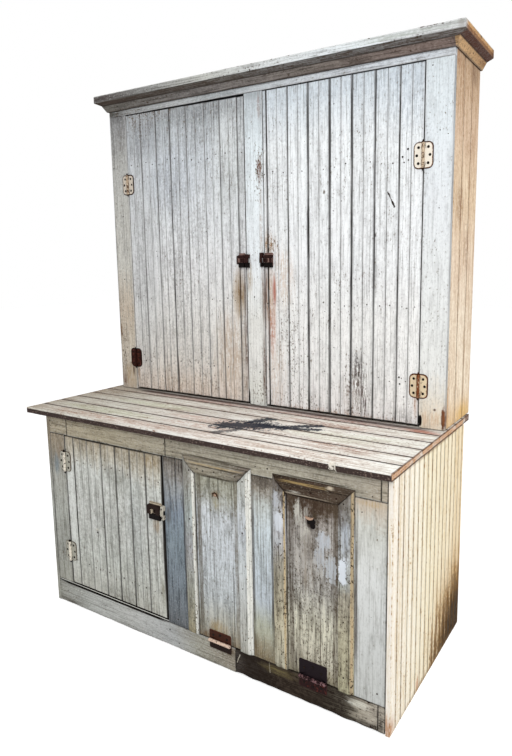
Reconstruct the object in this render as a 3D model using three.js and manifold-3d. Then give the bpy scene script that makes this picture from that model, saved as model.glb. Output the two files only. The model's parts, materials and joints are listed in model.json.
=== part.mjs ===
// A two-piece plank cupboard: a deep lower case with one door and two tilt-out bins,
// a plank worktop, and a shallower upper case with two doors under a moulded cornice.
// Lengths are in millimetres. X runs along the front from left to right, Y from the front
// of the lower case to the back, and Z up from the floor.
import * as THREE from "three";
import { mergeVertices } from "three/addons/utils/BufferGeometryUtils.js";
import Module from "manifold-3d";

// Fits
const JOINT_GAP = 0.3;
const WELD = 0.001;
const OVERRUN = 5;
const DOOR_GAP = 3;
const ROUND_SIDES = 16;

// Boards
const FRAME_BOARD = 20;
const SIDE_BOARD = 15;
const BACK_BOARD = 12;
const SHELF_BOARD = 20;
const FLOOR_BOARD = 18;
const GROOVE_WIDTH = 4;
const GROOVE_DEPTH = 2;

// Lower case
const BASE_WIDTH = 1400;
const BASE_DEPTH = 637;
const BASE_HEIGHT = 748;
const TOP_RAIL_HEIGHT = 68;
const BOTTOM_RAIL_HEIGHT = 86;
const FLOOR_TOP = 80;
const BASE_LEFT_STILE = 81.5;
const DOOR_STILE = 105.5;
const BIN_STILE = 108;
const BASE_RIGHT_STILE = 110.5;
const BASE_SIDE_STRIP = 38.7;
const PARTITION_BOARD = 18;
const LOWER_SHELF_SHARE = 0.5;

// Lower door
const LOWER_DOOR_SILL_GAP = 10;
const LOWER_DOOR_LATCH_GAP = 9;
const LOWER_DOOR_STRIPS = 12;
const LOWER_BATTEN_SHARES = [0.127, 0.867];
const LOWER_HINGE_SHARES = [0.224, 0.833];
const LOWER_LATCH_SHARE = 0.665;

// Bins
const BIN_OPENING = 237;
const BIN_PANEL_BOARD = 18;
const BIN_PANEL_TOP_GAP = 4;
const MOULDING_WIDTH = 51;
const MOULDING_STILE_LAP = 16;
const MOULDING_RAIL_LAP = 18;
const MOULDING_EDGE = 2;
const MOULDING_RIDGE = 11;
const MOULDING_RIDGE_INSET = 15.5;
const MOULDING_INNER = 8.6;
const MOULDING_SEAT = 2;
const BIN_SIDE_RADIUS = 560;
const BIN_STOP_RADIUS = 600;
const BIN_DEPTH = 406;
const BIN_BOARD = 12;
const BIN_SIDE_CLEARANCE = 6;
const BIN_BOTTOM_CLEARANCE = 4;
const BIN_ARC_STEPS = 10;

// Worktop
const WORKTOP_THICKNESS = 22;
const WORKTOP_FRONT_OVERHANG = 22;
const WORKTOP_BACK_OVERHANG = 55;
const WORKTOP_LEFT_OVERHANG = 84;
const WORKTOP_RIGHT_OVERHANG = 4;
const WORKTOP_BOARD = 80;
const WORKTOP_FIRST_BOARD = 76;
const NOSING_STEPS = 4;

// Upper case
const UPPER_LEFT_OVERHANG = 42;
const UPPER_RIGHT_INSET = 4;
const UPPER_BACK_OVERHANG = 68;
const UPPER_SETBACK = 427;
const UPPER_STILE_HEIGHT = 1129;
const FRIEZE_HEIGHT = 44;
const UPPER_LEFT_STILE = 90;
const CENTRE_STILE = 78;
const UPPER_RIGHT_STILE = 87;
const UPPER_LEFT_OPENING_SHARE = 0.4987;
const UPPER_SIDE_STRIP = 43;
const UPPER_SHELF_SHARES = [0.262, 0.477, 0.678, 0.853];
const SHELF_SETBACK = 24;

// Upper doors
const UPPER_DOOR_SILL_GAP = 9;
const UPPER_DOOR_STRIPS = 14;
const UPPER_BATTEN_SHARES = [0.108, 0.829];
const UPPER_HINGE_SHARES = [0.116, 0.757];
const UPPER_LATCH_SHARE = 0.479;

// Battens behind the doors
const BATTEN_HEIGHT = 90;
const BATTEN_BOARD = 18;
const BATTEN_END_INSET = 25;

// Cornice: its steps are shares of its reach and height
const CORNICE_REACH = 41;
const CORNICE_HEIGHT = 36;
const CORNICE_STEP_SHARES = [
  { out: 0.51, up: 0 },
  { out: 1, up: 0.28 },
  { out: 1, up: 0.95 },
  { out: 0.95, up: 1 },
];
const BED_HEIGHT = 24;
const BED_FOOT = 6;
const BED_OUT = 20;
const BED_SEAT = 4;

// Hinges
const PIN_PROUD = 6;
const PIN_RADIUS = 2.2;
const KNUCKLE_RADIUS = 5;
const LEAF_THICKNESS = 2;
const LEAF_CORNER = 10;
const LEAF_CORNER_STEPS = 3;
const KNUCKLES = 5;
const DOOR_HINGE_LENGTH = 76;
const DOOR_HINGE_REACH = 29.5;
const DOOR_HINGE_FINIAL = 9;
const BIN_HINGE_LENGTHS = [88, 94];
const BIN_HINGE_RAIL_REACHES = [29, 35];
const BIN_HINGE_BIN_REACHES = [35, 54];
const BIN_AXIS_RISE = 2;

// Latches
const LATCH_THICKNESS = 14;
const LATCH_WALL = 4;
const LATCH_BACK_WALL = 2.5;
const LATCH_EDGE_INSET = 1;
const BOLT_HEIGHT = 16;
const BOLT_CLEARANCE = 0.5;
const BOLT_THROW = 14;
const STUB_LENGTH = 9;
const STUB_HEIGHT = 5;
const STUB_PROUD = 3;
const UPPER_LATCH = { width: 36, height: 52 };
const LOWER_LATCH = { width: 63, height: 59 };

// Finishes: colour, roughness and metalness
const FINISHES = {
  upperPaint: [0xdbdfe0, 0.7, 0],
  lowerPaint: [0xb0b0a6, 0.75, 0],
  sidePaint: [0xe8dcc2, 0.75, 0],
  tanBoard: [0xd9bf9b, 0.8, 0],
  binPaint: [0xb9bdb8, 0.75, 0],
  wornBinPaint: [0x9c8f7c, 0.8, 0],
  bareWood: [0x9a7b57, 0.85, 0],
  worktopWood: [0xc9c2ae, 0.75, 0],
  corniceWood: [0x7d756c, 0.75, 0],
  rust: [0x5d3a2a, 0.8, 0.6],
  paintedIron: [0xcdc9bd, 0.6, 0.3],
};

const wasm = await Module();
wasm.setup();

const cupboard = new THREE.Group();

// Geometry helpers

// Closed skin that carries one flat profile through a row of stations.
function sweep(profile, stations) {
  const drawn = profile.map(([u, v]) => new THREE.Vector2(u, v));
  const outline = THREE.ShapeUtils.isClockWise(drawn) ? drawn.reverse() : drawn;
  const count = outline.length;
  const points = stations.flatMap((place) => outline.map(({ x, y }) => place(x, y)));
  const faces = [];
  for (let station = 0; station + 1 < stations.length; station += 1) {
    for (let corner = 0; corner < count; corner += 1) {
      const near = station * count + corner;
      const beside = station * count + ((corner + 1) % count);
      faces.push(near, beside, near + count);
      faces.push(beside, beside + count, near + count);
    }
  }
  const last = (stations.length - 1) * count;
  for (const [a, b, c] of THREE.ShapeUtils.triangulateShape(outline, [])) {
    faces.push(a, c, b);
    faces.push(last + a, last + b, last + c);
  }
  const geometry = new THREE.BufferGeometry().setFromPoints(points);
  geometry.setIndex(faces);
  return facingOut(geometry);
}

// Turns the faces round where the closed skin encloses a negative volume.
function facingOut(geometry) {
  const index = geometry.index.array;
  const a = new THREE.Vector3();
  const b = new THREE.Vector3();
  const c = new THREE.Vector3();
  const place = geometry.getAttribute("position");
  let volume = 0;
  for (let start = 0; start < index.length; start += 3) {
    a.fromBufferAttribute(place, index[start]);
    b.fromBufferAttribute(place, index[start + 1]);
    c.fromBufferAttribute(place, index[start + 2]);
    volume += a.dot(b.cross(c));
  }
  if (volume < 0) {
    index.reverse();
  }
  geometry.computeVertexNormals();
  return geometry;
}

function box([x0, x1], [y0, y1], [z0, z1]) {
  const geometry = new THREE.BoxGeometry(x1 - x0, y1 - y0, z1 - z0);
  return geometry.translate((x0 + x1) / 2, (y0 + y1) / 2, (z0 + z1) / 2);
}

// Round bar along Z.
function bar(radius, [z0, z1]) {
  const geometry = new THREE.CylinderGeometry(radius, radius, z1 - z0, ROUND_SIDES);
  return geometry.rotateX(Math.PI / 2).translate(0, 0, (z0 + z1) / 2);
}

function solidOf(geometry) {
  const bare = geometry.clone();
  bare.deleteAttribute("normal");
  bare.deleteAttribute("uv");
  const merged = mergeVertices(bare, WELD);
  const mesh = new wasm.Mesh({
    numProp: 3,
    vertProperties: merged.getAttribute("position").array,
    triVerts: new Uint32Array(merged.index.array),
  });
  return new wasm.Manifold(mesh);
}

function geometryOf(solid) {
  const mesh = solid.getMesh();
  const geometry = new THREE.BufferGeometry();
  geometry.setAttribute("position", new THREE.BufferAttribute(mesh.vertProperties, 3));
  geometry.setIndex(new THREE.BufferAttribute(mesh.triVerts, 1));
  geometry.computeVertexNormals();
  return geometry;
}

function join(geometries) {
  const solids = geometries.map(solidOf);
  return geometryOf(solids.reduce((whole, piece) => whole.add(piece)));
}

function cut(geometry, tools) {
  const start = solidOf(geometry);
  return geometryOf(tools.map(solidOf).reduce((whole, tool) => whole.subtract(tool), start));
}

function addPiece(name, geometry, finish) {
  const [color, roughness, metalness] = FINISHES[finish];
  const material = new THREE.MeshStandardMaterial({ color, roughness, metalness });
  material.flatShading = true;
  const mesh = new THREE.Mesh(geometry, material);
  mesh.name = name;
  cupboard.add(mesh);
  return mesh;
}

// Outline of a grooved board, from 0 to the width, with its face at 0 and its back at the
// thickness. The grooves are V cuts in the face.
function groovedOutline(width, thickness, grooves) {
  const half = GROOVE_WIDTH / 2;
  const face = grooves.flatMap((at) => [
    [at - half, 0],
    [at, GROOVE_DEPTH],
    [at + half, 0],
  ]);
  return [[0, 0], ...face, [width, 0], [width, thickness], [0, thickness]];
}

// Places of the grooves that part a width into equal strips.
function evenGrooves(width, strips) {
  return Array.from({ length: strips - 1 }, (_, index) => ((index + 1) * width) / strips);
}

// Places of grooves a fixed step apart, short of the far edge.
function steppedGrooves(width, step) {
  const count = Math.floor((width - GROOVE_WIDTH) / step);
  return Array.from({ length: count }, (_, index) => (index + 1) * step);
}

// Heights and places worked out from the driving sizes
const worktopTop = BASE_HEIGHT + WORKTOP_THICKNESS;
const topRailFoot = BASE_HEIGHT - TOP_RAIL_HEIGHT;
const baseLeft = -BASE_WIDTH / 2;
const baseRight = BASE_WIDTH / 2;
const baseInnerLeft = baseLeft + SIDE_BOARD;
const baseInnerRight = baseRight - SIDE_BOARD;
const secondBinRight = baseInnerRight - BASE_RIGHT_STILE;
const secondBinLeft = secondBinRight - BIN_OPENING;
const firstBinRight = secondBinLeft - BIN_STILE;
const firstBinLeft = firstBinRight - BIN_OPENING;
const lowerDoorRight = firstBinLeft - DOOR_STILE;
const lowerDoorLeft = baseInnerLeft + BASE_LEFT_STILE;
const upperLeft = baseLeft - UPPER_LEFT_OVERHANG;
const upperRight = baseRight - UPPER_RIGHT_INSET;
const upperBack = BASE_DEPTH + UPPER_BACK_OVERHANG;
const friezeFoot = worktopTop + UPPER_STILE_HEIGHT;
const friezeTop = friezeFoot + FRIEZE_HEIGHT;
const upperStiles = UPPER_LEFT_STILE + CENTRE_STILE + UPPER_RIGHT_STILE;
const leftOpeningWidth = (upperRight - upperLeft - upperStiles) * UPPER_LEFT_OPENING_SHARE;
const leftOpening = [upperLeft + UPPER_LEFT_STILE, upperLeft + UPPER_LEFT_STILE + leftOpeningWidth];
const rightOpening = [leftOpening[1] + CENTRE_STILE, upperRight - UPPER_RIGHT_STILE];
const binAxisHeight = BOTTOM_RAIL_HEIGHT + BIN_AXIS_RISE;

// Lower case

function addBaseSides() {
  const outline = groovedOutline(BASE_DEPTH, SIDE_BOARD, steppedGrooves(BASE_DEPTH, BASE_SIDE_STRIP));
  const foot = 0;
  const top = BASE_HEIGHT - JOINT_GAP;
  const left = sweep(outline, [
    (along, inward) => new THREE.Vector3(baseLeft + inward, along, foot),
    (along, inward) => new THREE.Vector3(baseLeft + inward, along, top),
  ]);
  const right = sweep(outline, [
    (along, inward) => new THREE.Vector3(baseRight - inward, along, foot),
    (along, inward) => new THREE.Vector3(baseRight - inward, along, top),
  ]);
  addPiece("base_left_side", left, "sidePaint");
  addPiece("base_right_side", right, "sidePaint");
}

function addBaseFrame() {
  const depth = [0, FRAME_BOARD];
  const inner = [baseInnerLeft + JOINT_GAP, baseInnerRight - JOINT_GAP];
  addPiece("top_rail", box(inner, depth, [topRailFoot, BASE_HEIGHT - JOINT_GAP]), "lowerPaint");
  addPiece("bottom_rail", box(inner, depth, [0, BOTTOM_RAIL_HEIGHT]), "lowerPaint");
  const rise = [BOTTOM_RAIL_HEIGHT + JOINT_GAP, topRailFoot - JOINT_GAP];
  const stiles = {
    base_left_stile: [inner[0], lowerDoorLeft],
    door_stile: [lowerDoorRight, firstBinLeft],
    bin_stile: [firstBinRight, secondBinLeft],
    base_right_stile: [secondBinRight, inner[1]],
  };
  for (const [name, span] of Object.entries(stiles)) {
    addPiece(name, box(span, depth, rise), "lowerPaint");
  }
}

function addBaseInside() {
  const inner = [baseInnerLeft + JOINT_GAP, baseInnerRight - JOINT_GAP];
  const under = BASE_HEIGHT - JOINT_GAP;
  const backFace = BASE_DEPTH - BACK_BOARD;
  addPiece("base_back", box(inner, [backFace, BASE_DEPTH], [0, under]), "bareWood");
  const inside = [FRAME_BOARD + JOINT_GAP, backFace - JOINT_GAP];
  addPiece("base_floor", box(inner, inside, [FLOOR_TOP - FLOOR_BOARD, FLOOR_TOP]), "bareWood");
  const partitionMiddle = lowerDoorRight + DOOR_STILE / 2;
  const partition = [partitionMiddle - PARTITION_BOARD / 2, partitionMiddle + PARTITION_BOARD / 2];
  addPiece("cupboard_partition", box(partition, inside, [FLOOR_TOP + JOINT_GAP, under]), "bareWood");
  const shelfTop = FLOOR_TOP + (BASE_HEIGHT - FLOOR_TOP) * LOWER_SHELF_SHARE;
  const shelfSpan = [inner[0], partition[0] - JOINT_GAP];
  const shelfDepth = [FRAME_BOARD + SHELF_SETBACK, inside[1]];
  addPiece("cupboard_shelf", box(shelfSpan, shelfDepth, [shelfTop - SHELF_BOARD, shelfTop]), "bareWood");
}

// Worktop: boards that run the full width, with a rounded front edge.
function addWorktop() {
  const front = -WORKTOP_FRONT_OVERHANG;
  const back = BASE_DEPTH + WORKTOP_BACK_OVERHANG;
  const radius = WORKTOP_THICKNESS / 2;
  const middle = BASE_HEIGHT + radius;
  const nose = Array.from({ length: NOSING_STEPS + 1 }, (_, index) => {
    const angle = Math.PI / 2 - (Math.PI * index) / NOSING_STEPS;
    return [front + radius - radius * Math.cos(angle), middle - radius * Math.sin(angle)];
  });
  const firstJoint = front + WORKTOP_FIRST_BOARD;
  const joints = steppedGrooves(UPPER_SETBACK - firstJoint, WORKTOP_BOARD);
  const grooves = [0, ...joints].flatMap((at) => [
    [firstJoint + at - GROOVE_WIDTH / 2, worktopTop],
    [firstJoint + at, worktopTop - GROOVE_DEPTH],
    [firstJoint + at + GROOVE_WIDTH / 2, worktopTop],
  ]);
  const outline = [...nose, ...grooves, [back, worktopTop], [back, BASE_HEIGHT]];
  const worktop = sweep(outline, [
    (y, z) => new THREE.Vector3(baseLeft - WORKTOP_LEFT_OVERHANG, y, z),
    (y, z) => new THREE.Vector3(baseRight + WORKTOP_RIGHT_OVERHANG, y, z),
  ]);
  addPiece("worktop", worktop, "worktopWood");
}

// Upper case

function addUpperCase() {
  const foot = worktopTop + JOINT_GAP;
  const top = friezeTop - JOINT_GAP;
  const boardFront = UPPER_SETBACK + FRAME_BOARD + JOINT_GAP;
  const sideDepth = upperBack - boardFront;
  const outline = groovedOutline(sideDepth, SIDE_BOARD, steppedGrooves(sideDepth, UPPER_SIDE_STRIP));
  const left = sweep(outline, [
    (along, inward) => new THREE.Vector3(upperLeft + inward, boardFront + along, foot),
    (along, inward) => new THREE.Vector3(upperLeft + inward, boardFront + along, top),
  ]);
  const right = sweep(outline, [
    (along, inward) => new THREE.Vector3(upperRight - inward, boardFront + along, foot),
    (along, inward) => new THREE.Vector3(upperRight - inward, boardFront + along, top),
  ]);
  addPiece("upper_left_side", left, "tanBoard");
  addPiece("upper_right_side", right, "tanBoard");
  const inner = [upperLeft + SIDE_BOARD + JOINT_GAP, upperRight - SIDE_BOARD - JOINT_GAP];
  addPiece("upper_back", box(inner, [upperBack - BACK_BOARD, upperBack], [foot, top]), "bareWood");
  const shelfDepth = [boardFront + SHELF_SETBACK, upperBack - BACK_BOARD - JOINT_GAP];
  UPPER_SHELF_SHARES.forEach((share, index) => {
    const middle = worktopTop + (friezeTop - worktopTop) * share;
    const rise = [middle - SHELF_BOARD / 2, middle + SHELF_BOARD / 2];
    addPiece(`upper_shelf_${index + 1}`, box(inner, shelfDepth, rise), "bareWood");
  });
}

function addUpperFrame() {
  const depth = [UPPER_SETBACK, UPPER_SETBACK + FRAME_BOARD];
  const rise = [worktopTop + JOINT_GAP, friezeFoot - JOINT_GAP];
  const stiles = {
    upper_left_stile: [upperLeft, leftOpening[0]],
    centre_stile: [leftOpening[1], rightOpening[0]],
    upper_right_stile: [rightOpening[1], upperRight],
  };
  for (const [name, span] of Object.entries(stiles)) {
    addPiece(name, box(span, depth, rise), "upperPaint");
  }
  const frieze = box([upperLeft, upperRight], depth, [friezeFoot, friezeTop - JOINT_GAP]);
  addPiece("frieze_rail", frieze, "upperPaint");
}

// Cornice: one board with a moulded edge on three sides, and the bed moulding under it.
function addCornice() {
  const edge = CORNICE_STEP_SHARES.map(({ out, up }) => [
    out * CORNICE_REACH,
    friezeTop + up * CORNICE_HEIGHT,
  ]);
  const board = sweep(
    [
      [0, 0],
      [1, 0],
      [1, 1],
      [0, 1],
    ],
    edge.map(([out, z]) => (u, v) => {
      const x = u ? upperRight + out : upperLeft - out;
      const y = v ? upperBack : UPPER_SETBACK - out;
      return new THREE.Vector3(x, y, z);
    }),
  );
  const bedProfile = [
    [JOINT_GAP, friezeTop - BED_HEIGHT],
    [BED_FOOT, friezeTop - BED_HEIGHT],
    [BED_OUT, friezeTop],
    [BED_OUT, friezeTop + BED_SEAT],
    [JOINT_GAP, friezeTop + BED_SEAT],
  ];
  const bed = sweep(bedProfile, [
    (out, z) => new THREE.Vector3(upperLeft - out, upperBack, z),
    (out, z) => new THREE.Vector3(upperLeft - out, UPPER_SETBACK - out, z),
    (out, z) => new THREE.Vector3(upperRight + out, UPPER_SETBACK - out, z),
    (out, z) => new THREE.Vector3(upperRight + out, upperBack, z),
  ]);
  addPiece("cornice", join([board, bed]), "corniceWood");
}

// Hinges

// One leaf lies along X from the knuckles to its reach, with its back against the board.
// Way is 1 for a leaf on the right of the pin and -1 for one on the left.
function leafPlate({ reach, length, way }) {
  const start = KNUCKLE_RADIUS + JOINT_GAP;
  const corner = Math.min(LEAF_CORNER, (reach - start) / 2);
  const half = length / 2;
  const arc = (fromAngle, middle) =>
    Array.from({ length: LEAF_CORNER_STEPS + 1 }, (_, index) => {
      const angle = fromAngle + (Math.PI / 2) * (index / LEAF_CORNER_STEPS);
      const across = reach - corner + corner * Math.cos(angle);
      return [across, middle + corner * Math.sin(angle)];
    });
  const lower = arc(-Math.PI / 2, corner - half);
  const upper = arc(0, half - corner);
  const outline = [[start, -half], ...lower, ...upper, [start, half]];
  const back = PIN_PROUD - JOINT_GAP;
  return sweep(outline, [
    (across, z) => new THREE.Vector3(way * across, back - LEAF_THICKNESS, z),
    (across, z) => new THREE.Vector3(way * across, back, z),
  ]);
}

// Knuckles of one leaf: every second one from the first given, each with its tab.
function knuckles({ length, way, first }) {
  const pitch = length / KNUCKLES;
  const pieces = [];
  const back = PIN_PROUD - JOINT_GAP;
  const reach = KNUCKLE_RADIUS + JOINT_GAP + LEAF_THICKNESS;
  for (let index = first; index < KNUCKLES; index += 2) {
    const foot = index * pitch - length / 2;
    const rise = [foot + JOINT_GAP / 2, foot + pitch - JOINT_GAP / 2];
    pieces.push(bar(KNUCKLE_RADIUS, rise));
    const across = way > 0 ? [0, reach] : [-reach, 0];
    pieces.push(box(across, [back - LEAF_THICKNESS, back], rise));
  }
  return pieces;
}

// Both leaves round a pin along Z at the origin. The fixed leaf carries the pin.
function hingeLeaves({ length, fixedReach, movingReach, finial, way }) {
  const pinHalf = length / 2 - JOINT_GAP;
  const pin = [bar(PIN_RADIUS, [-pinHalf, pinHalf])];
  if (finial) {
    for (const end of [1, -1]) {
      const cone = new THREE.ConeGeometry(KNUCKLE_RADIUS, finial, ROUND_SIDES);
      cone.rotateX((end * Math.PI) / 2);
      pin.push(cone.translate(0, 0, end * (length / 2 - JOINT_GAP / 2 + finial / 2)));
    }
  }
  const fixed = join([
    leafPlate({ reach: fixedReach, length, way: -way }),
    ...knuckles({ length, way: -way, first: 0 }),
    ...pin,
  ]);
  const solidMoving = join([
    leafPlate({ reach: movingReach, length, way }),
    ...knuckles({ length, way, first: 1 }),
  ]);
  const bore = bar(PIN_RADIUS + JOINT_GAP, [-length, length]);
  return { fixed, moving: cut(solidMoving, [bore]) };
}

function addDoorHinge(name, pinX, faceY, middle, way) {
  const leaves = hingeLeaves({
    length: DOOR_HINGE_LENGTH,
    fixedReach: DOOR_HINGE_REACH,
    movingReach: DOOR_HINGE_REACH,
    finial: DOOR_HINGE_FINIAL,
    way,
  });
  for (const [kind, geometry] of Object.entries(leaves)) {
    const label = kind === "fixed" ? "frame_leaf" : "door_leaf";
    const mesh = addPiece(`${name}_${label}`, geometry, "paintedIron");
    mesh.position.set(pinX, faceY - PIN_PROUD, middle);
  }
}

// Latches

// Case with a channel for the bolt, open towards the stile, and a slot for the thumb stub.
// Way is 1 where the stile is on the right of the door edge and -1 where it is on the left.
function addLatch(name, { width, height }, edgeX, faceY, middle, way) {
  const start = edgeX - way * LATCH_EDGE_INSET;
  const span = (from, to) => {
    const ends = [start - way * from, start - way * to];
    return [Math.min(...ends), Math.max(...ends)];
  };
  const back = faceY - JOINT_GAP;
  const front = back - LATCH_THICKNESS;
  const boltBack = back - LATCH_BACK_WALL - BOLT_CLEARANCE;
  const boltFront = front + LATCH_WALL + BOLT_CLEARANCE;
  const rise = (half) => [middle - half, middle + half];
  const boltLength = width - LATCH_WALL - BOLT_CLEARANCE;
  const stubStart = (boltLength + BOLT_THROW) / 2 - STUB_LENGTH / 2;
  const channel = box(
    span(-OVERRUN, width - LATCH_WALL),
    [boltFront - BOLT_CLEARANCE, boltBack + BOLT_CLEARANCE],
    rise(BOLT_HEIGHT / 2 + BOLT_CLEARANCE),
  );
  const slot = box(
    span(stubStart - BOLT_THROW - BOLT_CLEARANCE, stubStart + STUB_LENGTH + BOLT_CLEARANCE),
    [front - OVERRUN, boltFront],
    rise(STUB_HEIGHT / 2 + BOLT_CLEARANCE),
  );
  const block = box(span(0, width), [front, back], rise(height / 2));
  addPiece(`${name}_case`, cut(block, [channel, slot]), "rust");
  const bolt = box(span(0, boltLength), [boltFront, boltBack], rise(BOLT_HEIGHT / 2));
  const stub = box(
    span(stubStart, stubStart + STUB_LENGTH),
    [front - STUB_PROUD, boltFront + BOLT_CLEARANCE],
    rise(STUB_HEIGHT / 2),
  );
  addPiece(`${name}_bolt`, join([bolt, stub]), "rust");
}

// Doors

// Boards flush with the frame, two battens behind, two hinges and a latch.
// Way is 1 for a door hinged on its left edge and -1 for one hinged on its right.
function addDoor(name, door) {
  const { opening, rise, faceY, way, latchGap, strips, battens, hinges, latch, latchShare, finish } = door;
  const [left, right] = opening;
  const span = way > 0 ? [left + DOOR_GAP, right - latchGap] : [left + latchGap, right - DOOR_GAP];
  const width = span[1] - span[0];
  const outline = groovedOutline(width, FRAME_BOARD, evenGrooves(width, strips));
  const boards = sweep(
    outline,
    rise.map((z) => (along, inward) => new THREE.Vector3(span[0] + along, faceY + inward, z)),
  );
  addPiece(`${name}_boards`, boards, finish);
  const heightAt = (share) => rise[0] + (rise[1] - rise[0]) * share;
  const battenBack = faceY + FRAME_BOARD + JOINT_GAP;
  ["bottom", "top"].forEach((place, index) => {
    const middle = heightAt(battens[index]);
    const batten = box(
      [span[0] + BATTEN_END_INSET, span[1] - BATTEN_END_INSET],
      [battenBack, battenBack + BATTEN_BOARD],
      [middle - BATTEN_HEIGHT / 2, middle + BATTEN_HEIGHT / 2],
    );
    addPiece(`${name}_${place}_batten`, batten, "bareWood");
    const pinX = way > 0 ? left + DOOR_GAP / 2 : right - DOOR_GAP / 2;
    addDoorHinge(`${name}_${place}_hinge`, pinX, faceY, heightAt(hinges[index]), way);
  });
  addLatch(`${name}_latch`, latch, way > 0 ? span[1] : span[0], faceY, heightAt(latchShare), way);
}

function addDoors() {
  addDoor("lower_door", {
    opening: [lowerDoorLeft, lowerDoorRight],
    rise: [BOTTOM_RAIL_HEIGHT + LOWER_DOOR_SILL_GAP, topRailFoot - DOOR_GAP],
    faceY: 0,
    way: 1,
    latchGap: LOWER_DOOR_LATCH_GAP,
    strips: LOWER_DOOR_STRIPS,
    battens: LOWER_BATTEN_SHARES,
    hinges: LOWER_HINGE_SHARES,
    latch: LOWER_LATCH,
    latchShare: LOWER_LATCH_SHARE,
    finish: "lowerPaint",
  });
  const upper = {
    rise: [worktopTop + UPPER_DOOR_SILL_GAP, friezeFoot - DOOR_GAP],
    faceY: UPPER_SETBACK,
    latchGap: DOOR_GAP,
    strips: UPPER_DOOR_STRIPS,
    battens: UPPER_BATTEN_SHARES,
    hinges: UPPER_HINGE_SHARES,
    latch: UPPER_LATCH,
    latchShare: UPPER_LATCH_SHARE,
    finish: "upperPaint",
  };
  addDoor("upper_left_door", { ...upper, opening: leftOpening, way: 1 });
  addDoor("upper_right_door", { ...upper, opening: rightOpening, way: -1 });
}

// Bins

// Panel flush with the frame, with a mitred moulding on its sides and top that laps the
// stiles and the rail.
function binFront(left, right) {
  const panelFoot = binAxisHeight + JOINT_GAP;
  const panelTop = topRailFoot - BIN_PANEL_TOP_GAP;
  const panel = box([left + DOOR_GAP, right - DOOR_GAP], [0, BIN_PANEL_BOARD], [panelFoot, panelTop]);
  const top = topRailFoot + MOULDING_RAIL_LAP;
  const outer = [left - MOULDING_STILE_LAP, right + MOULDING_STILE_LAP];
  const rebate = Math.max(MOULDING_STILE_LAP + DOOR_GAP, MOULDING_RAIL_LAP + BIN_PANEL_TOP_GAP);
  const profile = [
    [0, -JOINT_GAP],
    [0, -MOULDING_EDGE],
    [MOULDING_RIDGE_INSET, -MOULDING_RIDGE],
    [MOULDING_WIDTH, -MOULDING_INNER],
    [MOULDING_WIDTH, MOULDING_SEAT],
    [rebate, MOULDING_SEAT],
    [rebate, -JOINT_GAP],
  ];
  const moulding = sweep(profile, [
    (inset, y) => new THREE.Vector3(outer[0] + inset, y, panelFoot),
    (inset, y) => new THREE.Vector3(outer[0] + inset, y, top - inset),
    (inset, y) => new THREE.Vector3(outer[1] - inset, y, top - inset),
    (inset, y) => new THREE.Vector3(outer[1] - inset, y, panelFoot),
  ]);
  return join([panel, moulding]);
}

// Box open at the front and top. Its sides are arcs about the hinge pin, and its back
// rises past them, so that it catches behind the top rail when the bin is tilted.
function binBox(left, right) {
  const axisY = -PIN_PROUD;
  const front = BIN_PANEL_BOARD + JOINT_GAP - axisY;
  const foot = BIN_BOTTOM_CLEARANCE;
  const fromAngle = Math.acos(BIN_DEPTH / BIN_SIDE_RADIUS);
  const toAngle = Math.acos(front / BIN_SIDE_RADIUS);
  const arc = Array.from({ length: BIN_ARC_STEPS + 1 }, (_, index) => {
    const angle = fromAngle + ((toAngle - fromAngle) * index) / BIN_ARC_STEPS;
    return [BIN_SIDE_RADIUS * Math.cos(angle), BIN_SIDE_RADIUS * Math.sin(angle)];
  });
  const outline = [[front, foot], [BIN_DEPTH, foot], ...arc];
  const span = [left + BIN_SIDE_CLEARANCE, right - BIN_SIDE_CLEARANCE];
  const place = (x) => (y, z) => new THREE.Vector3(x, axisY + y, binAxisHeight + z);
  const stopHeight = Math.sqrt(BIN_STOP_RADIUS ** 2 - BIN_DEPTH ** 2);
  const depth = [axisY + front, axisY + BIN_DEPTH];
  const rise = [binAxisHeight + foot, binAxisHeight + foot + BIN_BOARD];
  return join([
    sweep(outline, [place(span[0]), place(span[0] + BIN_BOARD)]),
    sweep(outline, [place(span[1] - BIN_BOARD), place(span[1])]),
    box(span, depth, rise),
    box(span, [depth[1] - BIN_BOARD, depth[1]], [rise[0], binAxisHeight + stopHeight]),
  ]);
}

function addBinHinge(name, index, middleX) {
  const leaves = hingeLeaves({
    length: BIN_HINGE_LENGTHS[index],
    fixedReach: BIN_HINGE_RAIL_REACHES[index],
    movingReach: BIN_HINGE_BIN_REACHES[index],
    finial: 0,
    way: -1,
  });
  for (const [kind, geometry] of Object.entries(leaves)) {
    const label = kind === "fixed" ? "rail_leaf" : "bin_leaf";
    const mesh = addPiece(`${name}_${label}`, geometry, "rust");
    mesh.rotation.y = Math.PI / 2;
    mesh.position.set(middleX, -PIN_PROUD, binAxisHeight);
  }
}

function addBins() {
  const openings = [
    [firstBinLeft, firstBinRight],
    [secondBinLeft, secondBinRight],
  ];
  const finishes = ["binPaint", "wornBinPaint"];
  openings.forEach(([left, right], index) => {
    const name = `bin_${index + 1}`;
    addPiece(`${name}_front`, binFront(left, right), finishes[index]);
    addPiece(`${name}_box`, binBox(left, right), "bareWood");
    addBinHinge(`${name}_hinge`, index, (left + right) / 2);
  });
}

addBaseSides();
addBaseFrame();
addBaseInside();
addWorktop();
addUpperCase();
addUpperFrame();
addCornice();
addDoors();
addBins();

// The origin is on the floor under the middle of the whole outline.
const middle = new THREE.Box3().setFromObject(cupboard).getCenter(new THREE.Vector3());
cupboard.position.set(-middle.x, -middle.y, 0);

export default cupboard;
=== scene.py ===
"""Looks of a weathered two-piece plank cupboard with two tall doors, one low door and two tilt-out bins."""

import json
import math
import random

import bmesh
import bpy
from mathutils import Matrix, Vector, noise

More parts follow.
